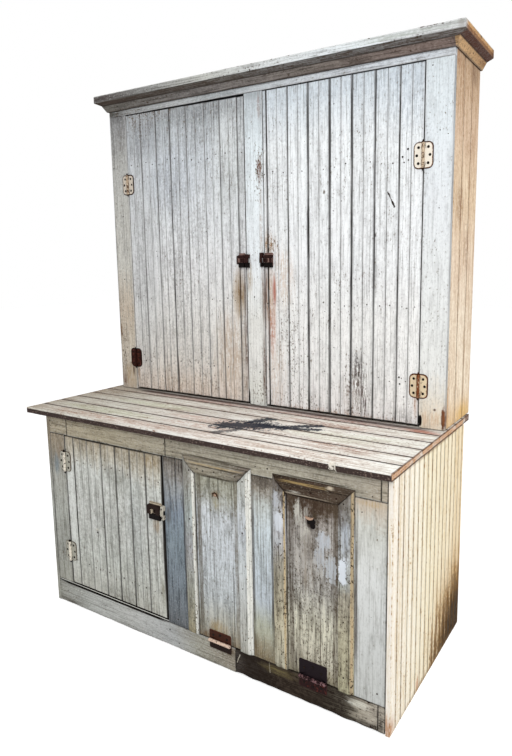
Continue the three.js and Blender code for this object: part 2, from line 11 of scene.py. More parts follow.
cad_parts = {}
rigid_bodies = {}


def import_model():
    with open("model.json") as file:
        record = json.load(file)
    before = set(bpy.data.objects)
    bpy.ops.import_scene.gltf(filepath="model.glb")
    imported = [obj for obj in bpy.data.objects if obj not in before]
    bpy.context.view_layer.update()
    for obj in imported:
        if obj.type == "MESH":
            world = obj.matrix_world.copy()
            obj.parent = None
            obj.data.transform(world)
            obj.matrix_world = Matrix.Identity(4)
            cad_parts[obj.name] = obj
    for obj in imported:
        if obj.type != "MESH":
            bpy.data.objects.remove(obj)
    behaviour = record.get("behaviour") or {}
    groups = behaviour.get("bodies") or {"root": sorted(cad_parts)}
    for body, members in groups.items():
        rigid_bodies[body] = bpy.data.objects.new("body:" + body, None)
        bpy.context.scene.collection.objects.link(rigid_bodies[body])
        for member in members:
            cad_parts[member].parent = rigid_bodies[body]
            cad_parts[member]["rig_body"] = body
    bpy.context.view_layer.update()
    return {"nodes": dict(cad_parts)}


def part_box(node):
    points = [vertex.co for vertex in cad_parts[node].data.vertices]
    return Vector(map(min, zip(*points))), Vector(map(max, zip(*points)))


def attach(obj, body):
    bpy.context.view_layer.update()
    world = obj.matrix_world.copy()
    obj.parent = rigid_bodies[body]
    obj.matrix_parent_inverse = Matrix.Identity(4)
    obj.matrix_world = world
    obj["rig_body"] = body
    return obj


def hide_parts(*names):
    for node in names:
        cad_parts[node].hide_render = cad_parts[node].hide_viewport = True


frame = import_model()
dice = random.Random(7)

MM = 0.001
X, Y, Z = Vector((1, 0, 0)), Vector((0, 1, 0)), Vector((0, 0, 1))

# Camera of the photograph, its place in millimetres from the middle of the lower case's front foot
IMAGE_WIDTH = 512
IMAGE_HEIGHT = 756
FOCAL_PIXELS = 607.7
PRINCIPAL_X = 294.3
PRINCIPAL_Y = 353.2
CAMERA_AT = (1266.4, -1417.3, 1308.0)
CAMERA_TURN = (81.43, 0.50, 31.33)
SENSOR = 36

# Boards
ARRIS = 1 * MM
EDGE_BAND = 3 * MM
GRIME_SHADE_BAND = 16 * MM
END_STEPS = (0, ARRIS, 3 * MM, GRIME_SHADE_BAND)
STATION_STEP = 45 * MM
BOW = 0.6 * MM
JOINT_DEPTH = 6 * MM
SIDE_SHADE = 2.5 * MM
BACK_DIRT = 0.12
BEAD_HALF = 2.1 * MM
BEAD_DEPTH = 2.8 * MM
RAGGED = 2.5 * MM
SMOOTH_ANGLE = math.radians(35)

# Washes, in millimetres. A reach of WIDE runs through the whole depth of a board
WIDE = 4000
UPPER_FACE = 427
WORKTOP_TOP = 770
RIGHT_FACE = 700


# Places

base_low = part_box("base_left_side")[0]
base_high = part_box("base_right_side")[1]
BASE_MIDDLE = (base_low.x + base_high.x) / 2


def at(x, y, z):
    """A point given in millimetres from the middle of the lower case's front foot."""
    return Vector((BASE_MIDDLE + x * MM, base_low.y + y * MM, z * MM))


def x_at(x):
    return at(x, 0, 0).x


# Mesh tools

class Skin:
    """Closed shells of one piece. Each point carries marks for the materials: its rubbing, which also
    lays a painted highlight; its soiling together with painted shade in gaps and corners; a wider
    smudged band with painted shade beside edges; and board tone. Each face has the number of its paint."""

    # The first mark also lays painted highlights, and the second and third painted shade as well as soiling
    MARKS = ("wear_and_glint", "dirt_and_shade", "grime_and_shade", "tone")

    def __init__(self):
        self.points = []
        self.faces = []
        self.paints = []
        self.marks = []

    def point(self, place, mark, tone):
        self.points.append(place)
        wear_and_glint, dirt_and_shade, grime_and_shade = (*mark, 0)[:3]
        self.marks.append((wear_and_glint, min(dirt_and_shade, 1), grime_and_shade, tone))
        return len(self.points) - 1

    def face(self, corners, paint):
        self.faces.append(corners)
        self.paints.append(paint)

    def add(self, rings, marks, tone, cap=(0.5, 0.4), paint=0):
        """Joins equal rings of points side by side and closes both ends with a fan."""
        count = len(rings[0])
        first = len(self.points)
        for index, ring in enumerate(rings):
            for place, mark in zip(ring, marks[index] if isinstance(marks[0], list) else marks):
                self.point(place, mark, tone)
        for ring in range(len(rings) - 1):
            start = first + ring * count
            for corner in range(count):
                beside = (corner + 1) % count
                here, there = start + corner, start + beside
                self.face((here, there, there + count, here + count), paint)
        for ring in (0, len(rings) - 1):
            start = first + ring * count
            hub = self.point(sum(rings[ring], Vector()) / count, cap, tone)
            for corner in range(count):
                self.face((hub, start + corner, start + (corner + 1) % count), paint)


def dress(skin, name, materials, nodes=(), body=None):
    """Makes one piece of a skin. It stands for its nodes, or rides on a body as an extra piece."""
    mesh = bpy.data.meshes.new(name)
    mesh.from_pydata(skin.points, [], skin.faces)
    for index, label in enumerate(Skin.MARKS):
        layer = mesh.attributes.new(label, "FLOAT", "POINT")
        layer.data.foreach_set("value", [mark[index] for mark in skin.marks])
    for material in materials if isinstance(materials, list) else [materials]:
        mesh.materials.append(material)
    mesh.polygons.foreach_set("material_index", skin.paints)
    shell = bmesh.new()
    shell.from_mesh(mesh)
    bmesh.ops.recalc_face_normals(shell, faces=shell.faces)
    shell.to_mesh(mesh)
    shell.free()
    mesh.shade_smooth()
    mesh.set_sharp_from_angle(angle=SMOOTH_ANGLE)
    piece = bpy.data.objects.new(name, mesh)
    bpy.context.scene.collection.objects.link(piece)
    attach(piece, body or frame["nodes"][nodes[0]]["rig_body"])
    if nodes:
        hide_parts(*nodes)


def section(corners, band=EDGE_BAND, grime_shade_level=0):
    """Outline of (across, deep, rubbing, soiling, smudging) points through corners of (across, deep,
    radius, rubbing, soiling). Rubbing also lays a painted highlight, and soiling and smudging painted
    shade. Marks fade within the band of a rounded corner, and smudging within a wider one."""
    outline = []
    for index, (across, deep, radius, wear_and_glint, dirt_and_shade) in enumerate(corners):
        if not radius:
            outline.append((across, deep, wear_and_glint, dirt_and_shade, 0))
            continue
        here = Vector((across, deep))
        before = Vector(corners[index - 1][:2]) - here
        after = Vector(corners[(index + 1) % len(corners)][:2]) - here
        cut = min(radius, before.length * 0.4, after.length * 0.4)

        def fade(way):
            added = []
            # Band of smudging and painted shade beside a rounded edge
            for reach, grime_and_shade in ((cut + band, 0.8 * grime_shade_level), (cut + GRIME_SHADE_BAND, 0)):
                if reach < way.length * 0.48:
                    added.append((*(here + way.normalized() * reach), 0, 0, grime_and_shade))
            return added

        outline += reversed(fade(before))
        start = here + before.normalized() * cut
        end = here + after.normalized() * cut
        for share in (0, 0.33, 0.67, 1):
            point = start * (1 - share) ** 2 + here * 2 * share * (1 - share) + end * share ** 2
            outline.append((*point, wear_and_glint, dirt_and_shade, grime_shade_level))
        outline += fade(after)
    return outline


def ripple(seed, a, b):
    """Slow noise from 0 to 1."""
    return 0.5 + 0.5 * noise.noise(Vector((a, b, seed * 71)))


def lay(skin, outline, origin, ways, length, bow=BOW, ragged=(0, 0), step=STATION_STEP, cut=None,
        bite=None, ends=(0.6, 0.6), grime_shade_level=0.5, cap=(0.5, 0.4), paint=0):
    """Carries an outline along a board. Ways are the directions across, deep and along. Its edges
    and face wander inwards by up to the bow, and its ends by up to ragged. Cut gives the start and
    end of a mitred board at a place across it, and bite takes chips out of it. Ends are how dark its
    two ends are, soiling together with painted shade, and cap the marks at the middle of them."""
    across, deep, along = ways
    tone = dice.random()
    widest = max(point[0] for point in outline)
    thickest = max(point[1] for point in outline)
    count = max(1, round((length - 2 * GRIME_SHADE_BAND) / step))
    inner = [GRIME_SHADE_BAND + (length - 2 * GRIME_SHADE_BAND) * index / count for index in range(1, count)]
    stations = [*END_STEPS, *inner, *(length - step for step in reversed(END_STEPS))]
    if length < 3 * GRIME_SHADE_BAND:
        stations = [0, ARRIS, END_STEPS[2], length - END_STEPS[2], length - ARRIS, length]
    rings, marks = [], []
    for station in stations:
        ring, ring_marks = [], []
        from_start, from_end = station, length - station
        for u, v, wear_and_glint, dirt_and_shade, grime_and_shade in outline:
            low, high = cut(u) if cut else (0, length)
            w = low + (high - low) * station / length
            w += ragged[0] * ripple(tone, u * 70, v * 20) * max(0, 1 - from_start / (3 * GRIME_SHADE_BAND))
            w -= ragged[1] * ripple(tone, u * 70, 9 + v * 20) * max(0, 1 - from_end / (3 * GRIME_SHADE_BAND))
            near_face = max(0.0, 1 - v / min(thickest, JOINT_DEPTH))
            side = u / widest * 2 - 1
            shift_u = -side ** 3 * bow * ripple(tone, math.copysign(3, side), w * 9) * near_face
            shift_v = bow * ripple(tone + 5, u * 25, w * 5) * near_face
            if min(from_start, from_end) == 0 and v < thickest / 2:
                shift_v += ARRIS
            if bite:
                extra_u, extra_v = bite(u, w)
                shift_u += extra_u
                shift_v += extra_v
            ring.append(origin + across * (u + shift_u) + deep * (v + shift_v) + along * w)
            # Both ends darken: soiling together with painted shade where the board meets other parts
            for end, far in zip(ends, (from_start, from_end)):
                dirt_and_shade = max(dirt_and_shade, end * (1 - far / END_STEPS[2])) if 0 < far < END_STEPS[2] else dirt_and_shade
                dirt_and_shade = end if far == 0 else dirt_and_shade
                grime_and_shade = max(grime_and_shade, grime_shade_level * (1 - far / GRIME_SHADE_BAND)) if end else grime_and_shade
            ring_marks.append((wear_and_glint, dirt_and_shade, grime_and_shade))
        rings.append(ring)
        marks.append(ring_marks)
    skin.add(rings, marks, tone, cap, paint)


def plank_outline(width, depth, lip, beads=(), plain=(False, False), edge=1.0, foul_and_shade=0.4, bead=1.0):
    """Tongue-and-groove plank: V joints at its edges and bead grooves at shares of its width. Plain
    tells which of its two edges is square instead. Edge is how dark its square sides are, with
    painted shade in the gaps beside them, foul its lips and bead its bead grooves."""
    joint = min(JOINT_DEPTH, depth * 0.5)

    def groove(place, lip_place, way):
        return [(place, joint, 0, 0, 1), (lip_place, 0, ARRIS, 0.7, foul_and_shade)][::way]

    def square(place, way):
        return [(place, SIDE_SHADE, 0, 0, edge), (place, 0, ARRIS, 0.7, 0.15)][::way]

    corners = square(0, 1) if plain[0] else groove(0, lip, 1)
    for share in beads:
        middle = width * share
        corners.append((middle - BEAD_HALF, 0, ARRIS * 0.6, 0.4, 0.1))
        corners.append((middle, BEAD_DEPTH, 0, 0, bead))
        corners.append((middle + BEAD_HALF, 0, ARRIS * 0.6, 0.6, 0.05))
    corners += square(width, -1) if plain[1] else groove(width, width - lip, -1)
    corners.append((width, depth - SIDE_SHADE / 2, 0, 0, edge))
    corners.append((width - SIDE_SHADE, depth, 0, 0, BACK_DIRT))
    corners.append((SIDE_SHADE, depth, 0, 0, BACK_DIRT))
    corners.append((0, depth - SIDE_SHADE / 2, 0, 0, edge))
    return section(corners, grime_shade_level=0.7)


def board_outline(width, depth, radius=ARRIS, dirt_and_shade=0.35, side=1.0, grime_shade_level=0.5):
    # The sides of a board darken by the side amount: soiling together with painted shade in the gaps
    shade = min(SIDE_SHADE, depth * 0.4)
    return section([
        (0, 0, radius, 1, dirt_and_shade),
        (width, 0, radius, 1, dirt_and_shade),
        (width, shade, 0, 0, side),
        (width, depth, 0, 0, side),
        (0, depth, 0, 0, side),
        (0, shade, 0, 0, side),
    ], grime_shade_level=grime_shade_level)


def front_board(skin, low, high, along, radius=ARRIS, dirt_and_shade=0.35, side=1.0, grime_shade_level=0.5, **settings):
    """Board of the front frame between two corners, with its grain along X or Z."""
    size = high - low
    settings["grime_shade_level"] = grime_shade_level
    if along == "z":
        outline = board_outline(size.x, size.y, radius, dirt_and_shade, side, grime_shade_level)
        lay(skin, outline, low, (X, Y, Z), size.z, **settings)
    else:
        outline = board_outline(size.z, size.y, radius, dirt_and_shade, side, grime_shade_level)
        lay(skin, outline, low, (Z, Y, X), size.x, **settings)


def circle(centre, axis, radius, sides):
    """Points round an axis."""
    first = axis.orthogonal().normalized()
    second = axis.cross(first)
    ring = []
    for index in range(sides):
        angle = 2 * math.pi * index / sides
        ring.append(centre + (first * math.cos(angle) + second * math.sin(angle)) * radius)
    return ring


def turned(skin, origin, axis, profile, sides=14, marks=None, paint=0):
    """Turned shell of (along, radius) steps about an axis."""
    rings = [circle(origin + axis * along, axis, radius, sides) for along, radius in profile]
    skin.add(rings, marks or [(0.6, 0.2)] * sides, 0.5, paint=paint)


# Paint and wood

def srgb(colour):
    """Linear colour of an sRGB colour written as 0xRRGGBB."""
    shares = [byte / 255 for byte in colour.to_bytes(3, "big")]
    return tuple(((c + 0.055) / 1.055) ** 2.4 if c > 0.04 else c / 12.92 for c in shares) + (1,)


class Graph:
    """Node tree of its owner, a material or world, with short calls for the nodes it uses."""

    def __init__(self, owner, shader="Principled BSDF"):
        owner.use_nodes = True
        self.owner = owner
        self.tree = owner.node_tree
        self.shader = self.tree.nodes[shader]

    def node(self, kind, inputs, **settings):
        made = self.tree.nodes.new("ShaderNode" + kind)
        for key, value in settings.items():
            setattr(made, key, value)
        for key, value in inputs.items():
            self.feed(made.inputs[key], value)
        return made

    def feed(self, socket, value):
        if isinstance(value, bpy.types.NodeSocket):
            self.tree.links.new(value, socket)
        else:
            socket.default_value = value

    def math(self, operation, a, b=0.0):
        return self.node("Math", {0: a, 1: b}, operation=operation).outputs[0]

    def total(self, *terms):
        """Sum of (share, value) terms."""
        result = 0.0
        for share, value in terms:
            result = self.node("Math", {0: value, 1: share, 2: result}, operation="MULTIPLY_ADD").outputs[0]
        return result

    def product(self, *values):
        result = values[0]
        for value in values[1:]:
            result = self.math("MULTIPLY", result, value)
        return result

    def vector(self, operation, a, b=(0, 0, 0)):
        node = self.node("VectorMath", {0: a, 1: b}, operation=operation)
        return node.outputs["Value" if operation in ("LENGTH", "DOT_PRODUCT") else "Vector"]

    def scaled(self, a, amount):
        return self.node("VectorMath", {0: a, "Scale": amount}, operation="SCALE").outputs["Vector"]

    def mix(self, share, a, b, blend="MIX"):
        return self.node("Mix", {0: share, 6: a, 7: b}, data_type="RGBA", blend_type=blend).outputs[2]

    def rise(self, value, low, high):
        """Smooth step from 0 at low to 1 at high."""
        inputs = {"Value": value, "From Min": low, "From Max": high}
        return self.node("MapRange", inputs, interpolation_type="SMOOTHSTEP").outputs["Result"]

    def noise(self, vector, scale, detail=3, rough=0.55, distort=0):
        inputs = {"Vector": vector, "Scale": scale, "Detail": detail, "Roughness": rough}
        return self.node("TexNoise", {**inputs, "Distortion": distort}).outputs[0]

    def attribute(self, name):
        return self.node("Attribute", {}, attribute_name=name).outputs["Fac"]

    def surface(self, colour, roughness, height, relief, strength, specular):
        """Feeds the shader and gives the finished material."""
        bump = self.node("Bump", {"Strength": strength, "Distance": relief, "Height": height})
        self.feed(self.shader.inputs["Base Color"], colour)
        self.feed(self.shader.inputs["Roughness"], roughness)
        self.feed(self.shader.inputs["Normal"], bump.outputs["Normal"])
        self.feed(self.shader.inputs["Specular IOR Level"], specular)
        return self.owner

    def ramp(self, value, stops):
        """Colour of a value between stops, each a value with its colour."""
        first, last = min(stops), max(stops)
        inputs = {"Value": value, "From Min": first, "From Max": last}
        share = self.node("MapRange", inputs).outputs["Result"]
        node = self.node("ValToRGB", {0: share})
        elements = node.color_ramp.elements
        while len(elements) < len(stops):
            elements.new(0.5)
        for element, (position, colour) in zip(elements, stops.items()):
            element.position = (position - first) / (last - first)
            element.color = srgb(colour)
        return node.outputs[0]


# Scale of each pattern along the grain, as a share of its scale across it
FIBRE_SHARE = 0.05
LINE_SHARE = 0.015
FIGURE_SHARE = 0.14
SMEAR_SHARE = 0.2
FLECK_SHARE = 0.6

# How far a board's tone shifts its patterns, so that no two boards are alike
SEED_SPREAD = (13.7, 5.1, 29.3)

# Other numbers of the patterns
PINHOLE_SCALE = 30
GROWTH_RINGS = 11.0
CHIP_START, CHIP_FULL = 0.63, 0.67
STROKE_RAGGED = 1.1
# Strength of the painted highlight in the light colour along rubbed edges
EDGE_GLINT = 0.45


class Wood(Graph):
    """Grain, blots, specks and marks that every board finish shares."""

    def __init__(self, name, grain):
        super().__init__(bpy.data.materials.new(name))
        self.place = self.node("TexCoord", {}).outputs["Object"]
        self.tone = self.attribute("tone")
        self.wear_and_glint = self.attribute("wear_and_glint")
        self.dirt_and_shade = self.attribute("dirt_and_shade")
        self.grime_and_shade = self.attribute("grime_and_shade")
        seeded = self.vector("ADD", self.place, self.scaled(SEED_SPREAD, self.tone))

        def stretched(share):
            return self.vector("MULTIPLY", seeded, [share if axis == grain else 1 for axis in "xyz"])

        fibrous = stretched(FIBRE_SHARE)
        self.fibre = self.noise(fibrous, 900, 3, 0.6)
        self.hair = self.noise(fibrous, 330, 4, 0.6, 0.2)
        self.streak = self.noise(fibrous, 95, 5, 0.6, 0.3)
        self.mottle = self.noise(seeded, 85, 7, 0.68)
        self.cloud = self.noise(self.place, 7, 5, 0.6)
        self.fleck = self.noise(stretched(FLECK_SHARE), 240, 3, 0.55)
        self.grain = self.noise(stretched(LINE_SHARE), 210, 3, 0.6)
        self.smear = self.noise(stretched(SMEAR_SHARE), 48, 6, 0.62)
        self.figured = self.noise(stretched(FIGURE_SHARE), 14, 2, 0.4, 0.5)
        holes = self.node("TexVoronoi", {"Vector": seeded, "Scale": PINHOLE_SCALE, "Randomness": 1})
        chance = self.node("SeparateColor", {0: holes.outputs["Color"]})
        size = self.total((0.06, chance.outputs[1]), (1, 0.025))
        near = self.rise(self.math("DIVIDE", holes.outputs["Distance"], size), 1.2, 0.8)
        self.pinholes = self.product(near, self.rise(chance.outputs[0], 0.4, 0.44))
        self.colour = (0.5, 0.5, 0.5, 1)
        self.bold_streak = self.rise(self.streak, 0.36, 0.64)
        self.bold_mottle = self.rise(self.mottle, 0.36, 0.64)
        self.chips = 0.0

    def cover(self, share, colour, blend="MIX"):
        self.colour = self.mix(share, self.colour, srgb(colour), blend)

    def field(self, centre, reach, square=False):
        """0 at a place and 1 at its reach."""
        from_centre = self.vector("SUBTRACT", self.place, at(*centre))
        scaled = self.vector("MULTIPLY", from_centre, [1 / (r * MM) for r in reach])
        if not square:
            return self.vector("LENGTH", scaled)
        parts = self.node("SeparateXYZ", {0: self.vector("ABSOLUTE", scaled)}).outputs
        return self.math("MAXIMUM", self.math("MAXIMUM", parts[0], parts[1]), parts[2])

    def wash(self, centre, reach, colour, strength, streaks=0.5, soft=0.2, ragged=0.35, square=False):
        """Blends a colour in round a place, broken up by the grain and the blots."""
        edge = self.total((2 * ragged, self.mottle), (2 * ragged, self.streak), (1, -2 * ragged))
        far = self.math("ADD", self.field(centre, reach, square), edge)
        torn = self.rise(self.total((0.65, self.hair), (0.35, self.mottle)), 0.455, 0.545)
        broken = self.total((streaks, torn), (1, 1 - streaks))
        self.cover(self.product(self.rise(far, 1, soft), broken, strength), colour)

    def stroke(self, start, end, reach, colour, strength):
        """A stroke of colour between two places, its edge broken up by the blots."""
        first, last = at(*start), at(*end)
        way = last - first
        from_first = self.vector("SUBTRACT", self.place, first)
        along = self.math("DIVIDE", self.vector("DOT_PRODUCT", from_first, way), way.length_squared)
        along = self.math("MINIMUM", self.math("MAXIMUM", along, 0), 1)
        nearest = self.scaled(tuple(way), along)
        far = self.vector("LENGTH", self.vector("SUBTRACT", from_first, nearest))
        torn = self.total((1 / (reach * MM), far), (STROKE_RAGGED, self.bold_mottle),
                          (1, -STROKE_RAGGED / 2))
        self.cover(self.math("MULTIPLY", self.rise(torn, 1.1, 0.75), strength), colour)

    def finish(self):
        roughness = self.total((0.25, self.mottle), (1, 0.6))
        woody = self.total((0.25, self.fibre), (0.4, self.hair), (0.3, self.streak))
        height = self.total((-0.35, self.chips), (0.2, self.mottle), (1, woody))
        return self.surface(self.colour, roughness, height, relief=0.7 * MM, strength=0.7, specular=0.05)


def painted(name, grain, stops, line, dark, wood, light, along=None, wander=90, vary=0.5, lines=0.4,
            smeared=0.35, flecks=0.2, figure=0.0, bare=0.0, edge=0.05, chip_dark=0.5, speckle=0.8,
            step_highlight=None, step_highlight_share=1.0, ragged=0.0, foul_and_shade=0.5, nose=None,
            chip_shares=(0.42, 0.16, 0.2, 0.2), under=(), over=(), flaked=(), strokes=()):
    """Old paint over wood, its colour running through stops along an axis and straying by up to
    wander. Line is the tint of its grain and blots, dark of its joints, soiling and painted shade,
    and light of the painted highlight on its edges and of its pale flecks. Vary, lines, smeared,
    flecks and figure say how strong its blots, grain lines, smears, flecks and growth rings are,
    speckle its pinholes and foul its smudged band with painted shade. Bare raises how much wood
    shows, edge does so on rubbed edges, and flaked round some places. The worn colour is a painted
    highlight on marked faces. Ragged breaks the edge of the soiling and painted shade, and nose is
    a lighter fleck in it. Under and over are washes below and above the chipping, and strokes lie
    over the soiling."""
    g = Wood(name, grain)
    parts = g.node("SeparateXYZ", {0: g.vector("SUBTRACT", g.place, at(0, 0, 0))}).outputs
    ways = "xyz".index(along or grain)
    strayed = g.total((wander, g.cloud), (wander, g.mottle), (wander, g.streak), (1, -1.5 * wander))
    value = g.total((1 / MM, parts[ways]), (1, strayed))
    g.colour = g.ramp(value, stops)
    for where, how in under:
        g.wash(*where, **how)
    blots = g.total((0.34, g.bold_mottle), (0.3, g.bold_streak), (0.5, g.cloud), (0.3, g.tone),
                    (1, -0.42))
    g.cover(g.product(g.rise(blots, 0.05, 0.95), vary), line, "MULTIPLY")
    # Step highlight: a painted highlight colour on faces with a high rubbing mark, the right-facing steps
    # of the bin mouldings
    if step_highlight:
        patchy = g.rise(g.total((step_highlight_share, g.wear_and_glint), (1, g.mottle), (0.5, g.streak)), 1.2, 1.35)
        g.cover(patchy, step_highlight)
    g.cover(g.product(g.rise(g.smear, 0.5, 0.64), smeared), line, "MULTIPLY")
    g.cover(g.product(g.rise(g.hair, 0.52, 0.64), lines), line, "MULTIPLY")
    g.cover(g.product(g.rise(g.grain, 0.56, 0.63), lines * 1.3), line, "MULTIPLY")
    g.cover(g.product(g.rise(g.fleck, 0.55, 0.66), flecks), line, "MULTIPLY")
    g.cover(g.product(g.rise(g.fleck, 0.45, 0.34), flecks), light)
    if figure:
        bands = g.math("FRACT", g.math("MULTIPLY", g.figured, GROWTH_RINGS))
        rings = g.rise(g.math("ABSOLUTE", g.math("SUBTRACT", bands, 0.5)), 0.33, 0.47)
        g.cover(g.product(rings, g.rise(g.fleck, 0.36, 0.52), figure), line, "MULTIPLY")
    more = 0.0
    for x, z, rx, rz, amount in flaked:
        fade = g.math("MAXIMUM", g.math("SUBTRACT", 1, g.field(*front_patch(x, z, rx, rz))), 0)
        more = g.math("ADD", more, g.math("MULTIPLY", fade, amount))
    shares = zip(chip_shares, (g.mottle, g.streak, g.hair, g.fleck))
    flake = g.total(*shares, (0.12, g.cloud), (edge, g.wear_and_glint), (1, more), (1, bare))
    g.chips = g.rise(flake, CHIP_START, CHIP_FULL)
    darkened = g.total((chip_dark, g.rise(flake, 0.65, 0.72)), (0.3, g.rise(g.fibre, 0.4, 0.6)))
    bare_colour = g.mix(darkened, srgb(wood), srgb(dark))
    g.colour = g.mix(g.chips, g.colour, bare_colour)
    # Painted highlight: the light colour along edges marked as rubbed, except where chipped
    g.cover(g.product(g.wear_and_glint, g.total((-1, g.chips), (1, 1)), EDGE_GLINT), light)
    # Smudged band along edges, darkened by the line tint: smudging together with painted shade
    g.cover(g.product(g.grime_and_shade, g.total((0.9, g.bold_mottle), (1, 0.35)), foul_and_shade), line, "MULTIPLY")
    for where, how in over:
        g.wash(*where, **how)
    # Dark mark: soiling and dark joints together with painted shade in gaps and along piece borders
    ragged_dark_mark = g.total((1, g.dirt_and_shade), (ragged, g.mottle), (ragged, g.streak), (1, -ragged))
    even_dark_mark = g.product(ragged_dark_mark, g.total((0.5, g.bold_streak), (1, 0.7)))
    spread = g.rise(ragged_dark_mark, 0.3, 0.6) if ragged else even_dark_mark
    dark_mark_colour = g.mix(g.rise(g.fleck, 0.56, 0.64), srgb(dark), srgb(nose)) if nose else srgb(dark)
    g.colour = g.mix(g.math("MINIMUM", spread, 1), g.colour, dark_mark_colour)
    for start, end, reach, colour, strength in strokes:
        g.stroke(start, end, reach, colour, strength)
    g.cover(g.product(g.pinholes, speckle), dark)
    return g.finish()


# Washes: each has its place and reach in millimetres, its colour, and how it is laid on

def spot(x, y, z, rx, ry, rz, colour, strength, **how):
    """Round wash, or one with straight sides where it is square."""
    return ((x, y, z), (rx, ry, rz), colour, strength), how


def front_patch(x, z, rx, rz):
    """Place and reach of a patch on the front of the upper or the lower case."""
    return (x, UPPER_FACE if z >= WORKTOP_TOP else 0, z), (rx, WIDE, rz)


def front(x, z, rx, rz, colour, strength, **how):
    return (*front_patch(x, z, rx, rz), colour, strength), how


def strip(x, z, rx, rz, colour, strength, **how):
    """Straight-sided wash on the front."""
    return front(x, z, rx, rz, colour, strength, square=True, **how)


def flank(y, z, ry, rz, colour, strength, **how):
    """Wash on the right side."""
    return spot(RIGHT_FACE, y, z, WIDE, ry, rz, colour, strength, **how)


def deck(x, y, rx, ry, colour, strength, **how):
    """Wash on the worktop."""
    return spot(x, y, WORKTOP_TOP, rx, ry, WIDE, colour, strength, **how)


# Paint of the upper case. Stops run along the board, in millimetres from the floor or the middle

upper = dict(dark=0x2C2726, line=0x928F8E, wood=0x968676, light=0xF6F8F8, foul_and_shade=0.2, edge=0.02,
             smeared=0.2, chip_shares=(0.2, 0.1, 0.26, 0.42), chip_dark=0.85)

upper_left_stile_paint = painted(
    "upper_left_stile_paint", "z",
    {780: 0xDCD4C8, 950: 0xD4CABA, 1120: 0xD0C2B0, 1300: 0xD2D0C8, 1700: 0xBEBEBA,
     1860: 0x989898},
    flecks=0.25, lines=0.35, vary=0.5,
    over=[
        front(-742, 1250, 10, 700, 0x585854, 0.7, streaks=0.4),
        front(-690, 820, 60, 90, 0xB89E7A, 0.7, streaks=0.6),
        front(-671, 852, 8, 34, 0x40261C, 0.9, streaks=0.2),
        front(-735, 1022, 14, 50, 0x6E523A, 0.8, streaks=0.6),
        front(-728, 812, 22, 50, 0x603A2A, 0.8, streaks=0.6, ragged=0.8),
        front(-700, 1890, 60, 30, 0x5A5A5A, 0.6, streaks=0.5),
    ],
    flaked=[(-730, 900, 60, 300, 0.06)], **upper)

upper_left_door_paint = painted(
    "upper_left_door_paint", "z",
    {800: 0xF6ECE2, 950: 0xF0ECE6, 1100: 0xF3F2EF, 1300: 0xF5F6F7, 1500: 0xEBEFF2,
     1700: 0xDCE2E7, 1860: 0xBABFC3},
    flecks=0.25, lines=0.45, vary=0.5,
    under=[
        front(-590, 1400, 150, 700, 0xCCCECF, 0.7, streaks=0.3),
        front(-420, 1620, 200, 160, 0xC4CAD4, 0.6, streaks=0.5),
        front(-540, 1800, 140, 120, 0x989CA2, 0.7, streaks=0.4),
        front(-130, 1660, 120, 300, 0xE6EAEA, 0.9, streaks=0.3),
        front(-300, 1860, 320, 60, 0x969A9C, 0.6, streaks=0.5),
    ],
    over=[
        front(-400, 790, 420, 120, 0xC4B09C, 0.6, streaks=0.8),
        front(-100, 1190, 44, 130, 0xAC9470, 0.85, streaks=0.4),
        front(-96, 1200, 26, 130, 0x84684A, 0.85, streaks=0.6),
        front(-72, 1200, 7, 170, 0x4A3628, 0.85, streaks=0.3),
        front(-140, 960, 110, 250, 0xC8AE94, 0.65, streaks=0.8),
        front(-70, 960, 10, 220, 0x543424, 0.85, streaks=0.7),
        front(-413, 860, 4, 110, 0x2C160E, 1.0, streaks=0, ragged=0.2),
        front(-640, 860, 14, 80, 0x96785C, 0.7, streaks=0.7),
    ],
    flaked=[(-400, 770, 460, 200, 0.07), (-100, 1200, 60, 150, 0.05),
            (-500, 1890, 260, 170, 0.07)], **upper)

centre_stile_paint = painted(
    "centre_stile_paint", "z",
    {820: 0xEAEBE4, 950: 0xF4F4F0, 1100: 0xEEEEE9, 1300: 0xF4F9FC, 1700: 0xE8F1F5,
     1860: 0xC6CED3},
    lines=0.2, vary=0.25,
    over=[
        front(12, 1180, 13, 170, 0x70503A, 0.9, streaks=0.4),
        front(10, 920, 13, 190, 0x5C3C2A, 0.9, streaks=0.5),
        front(4, 1420, 10, 240, 0x96765C, 0.65, streaks=0.9),
        front(2, 1850, 9, 70, 0x80543E, 0.7, streaks=0.9),
        front(0, 1630, 14, 60, 0x6E4632, 0.8, streaks=0.5, ragged=0.9),
        front(-50, 1250, 20, 90, 0xAA967C, 0.7, streaks=0.8, ragged=0.8),
        front(-62, 800, 5, 36, 0x140C0A, 1.0, streaks=0, ragged=0.1, soft=0.8),
        front(-25, 1890, 60, 26, 0x969CA0, 0.6, streaks=0.4),
    ],
    flaked=[(0, 1620, 30, 120, 0.12), (0, 800, 60, 120, 0.06)], **upper)

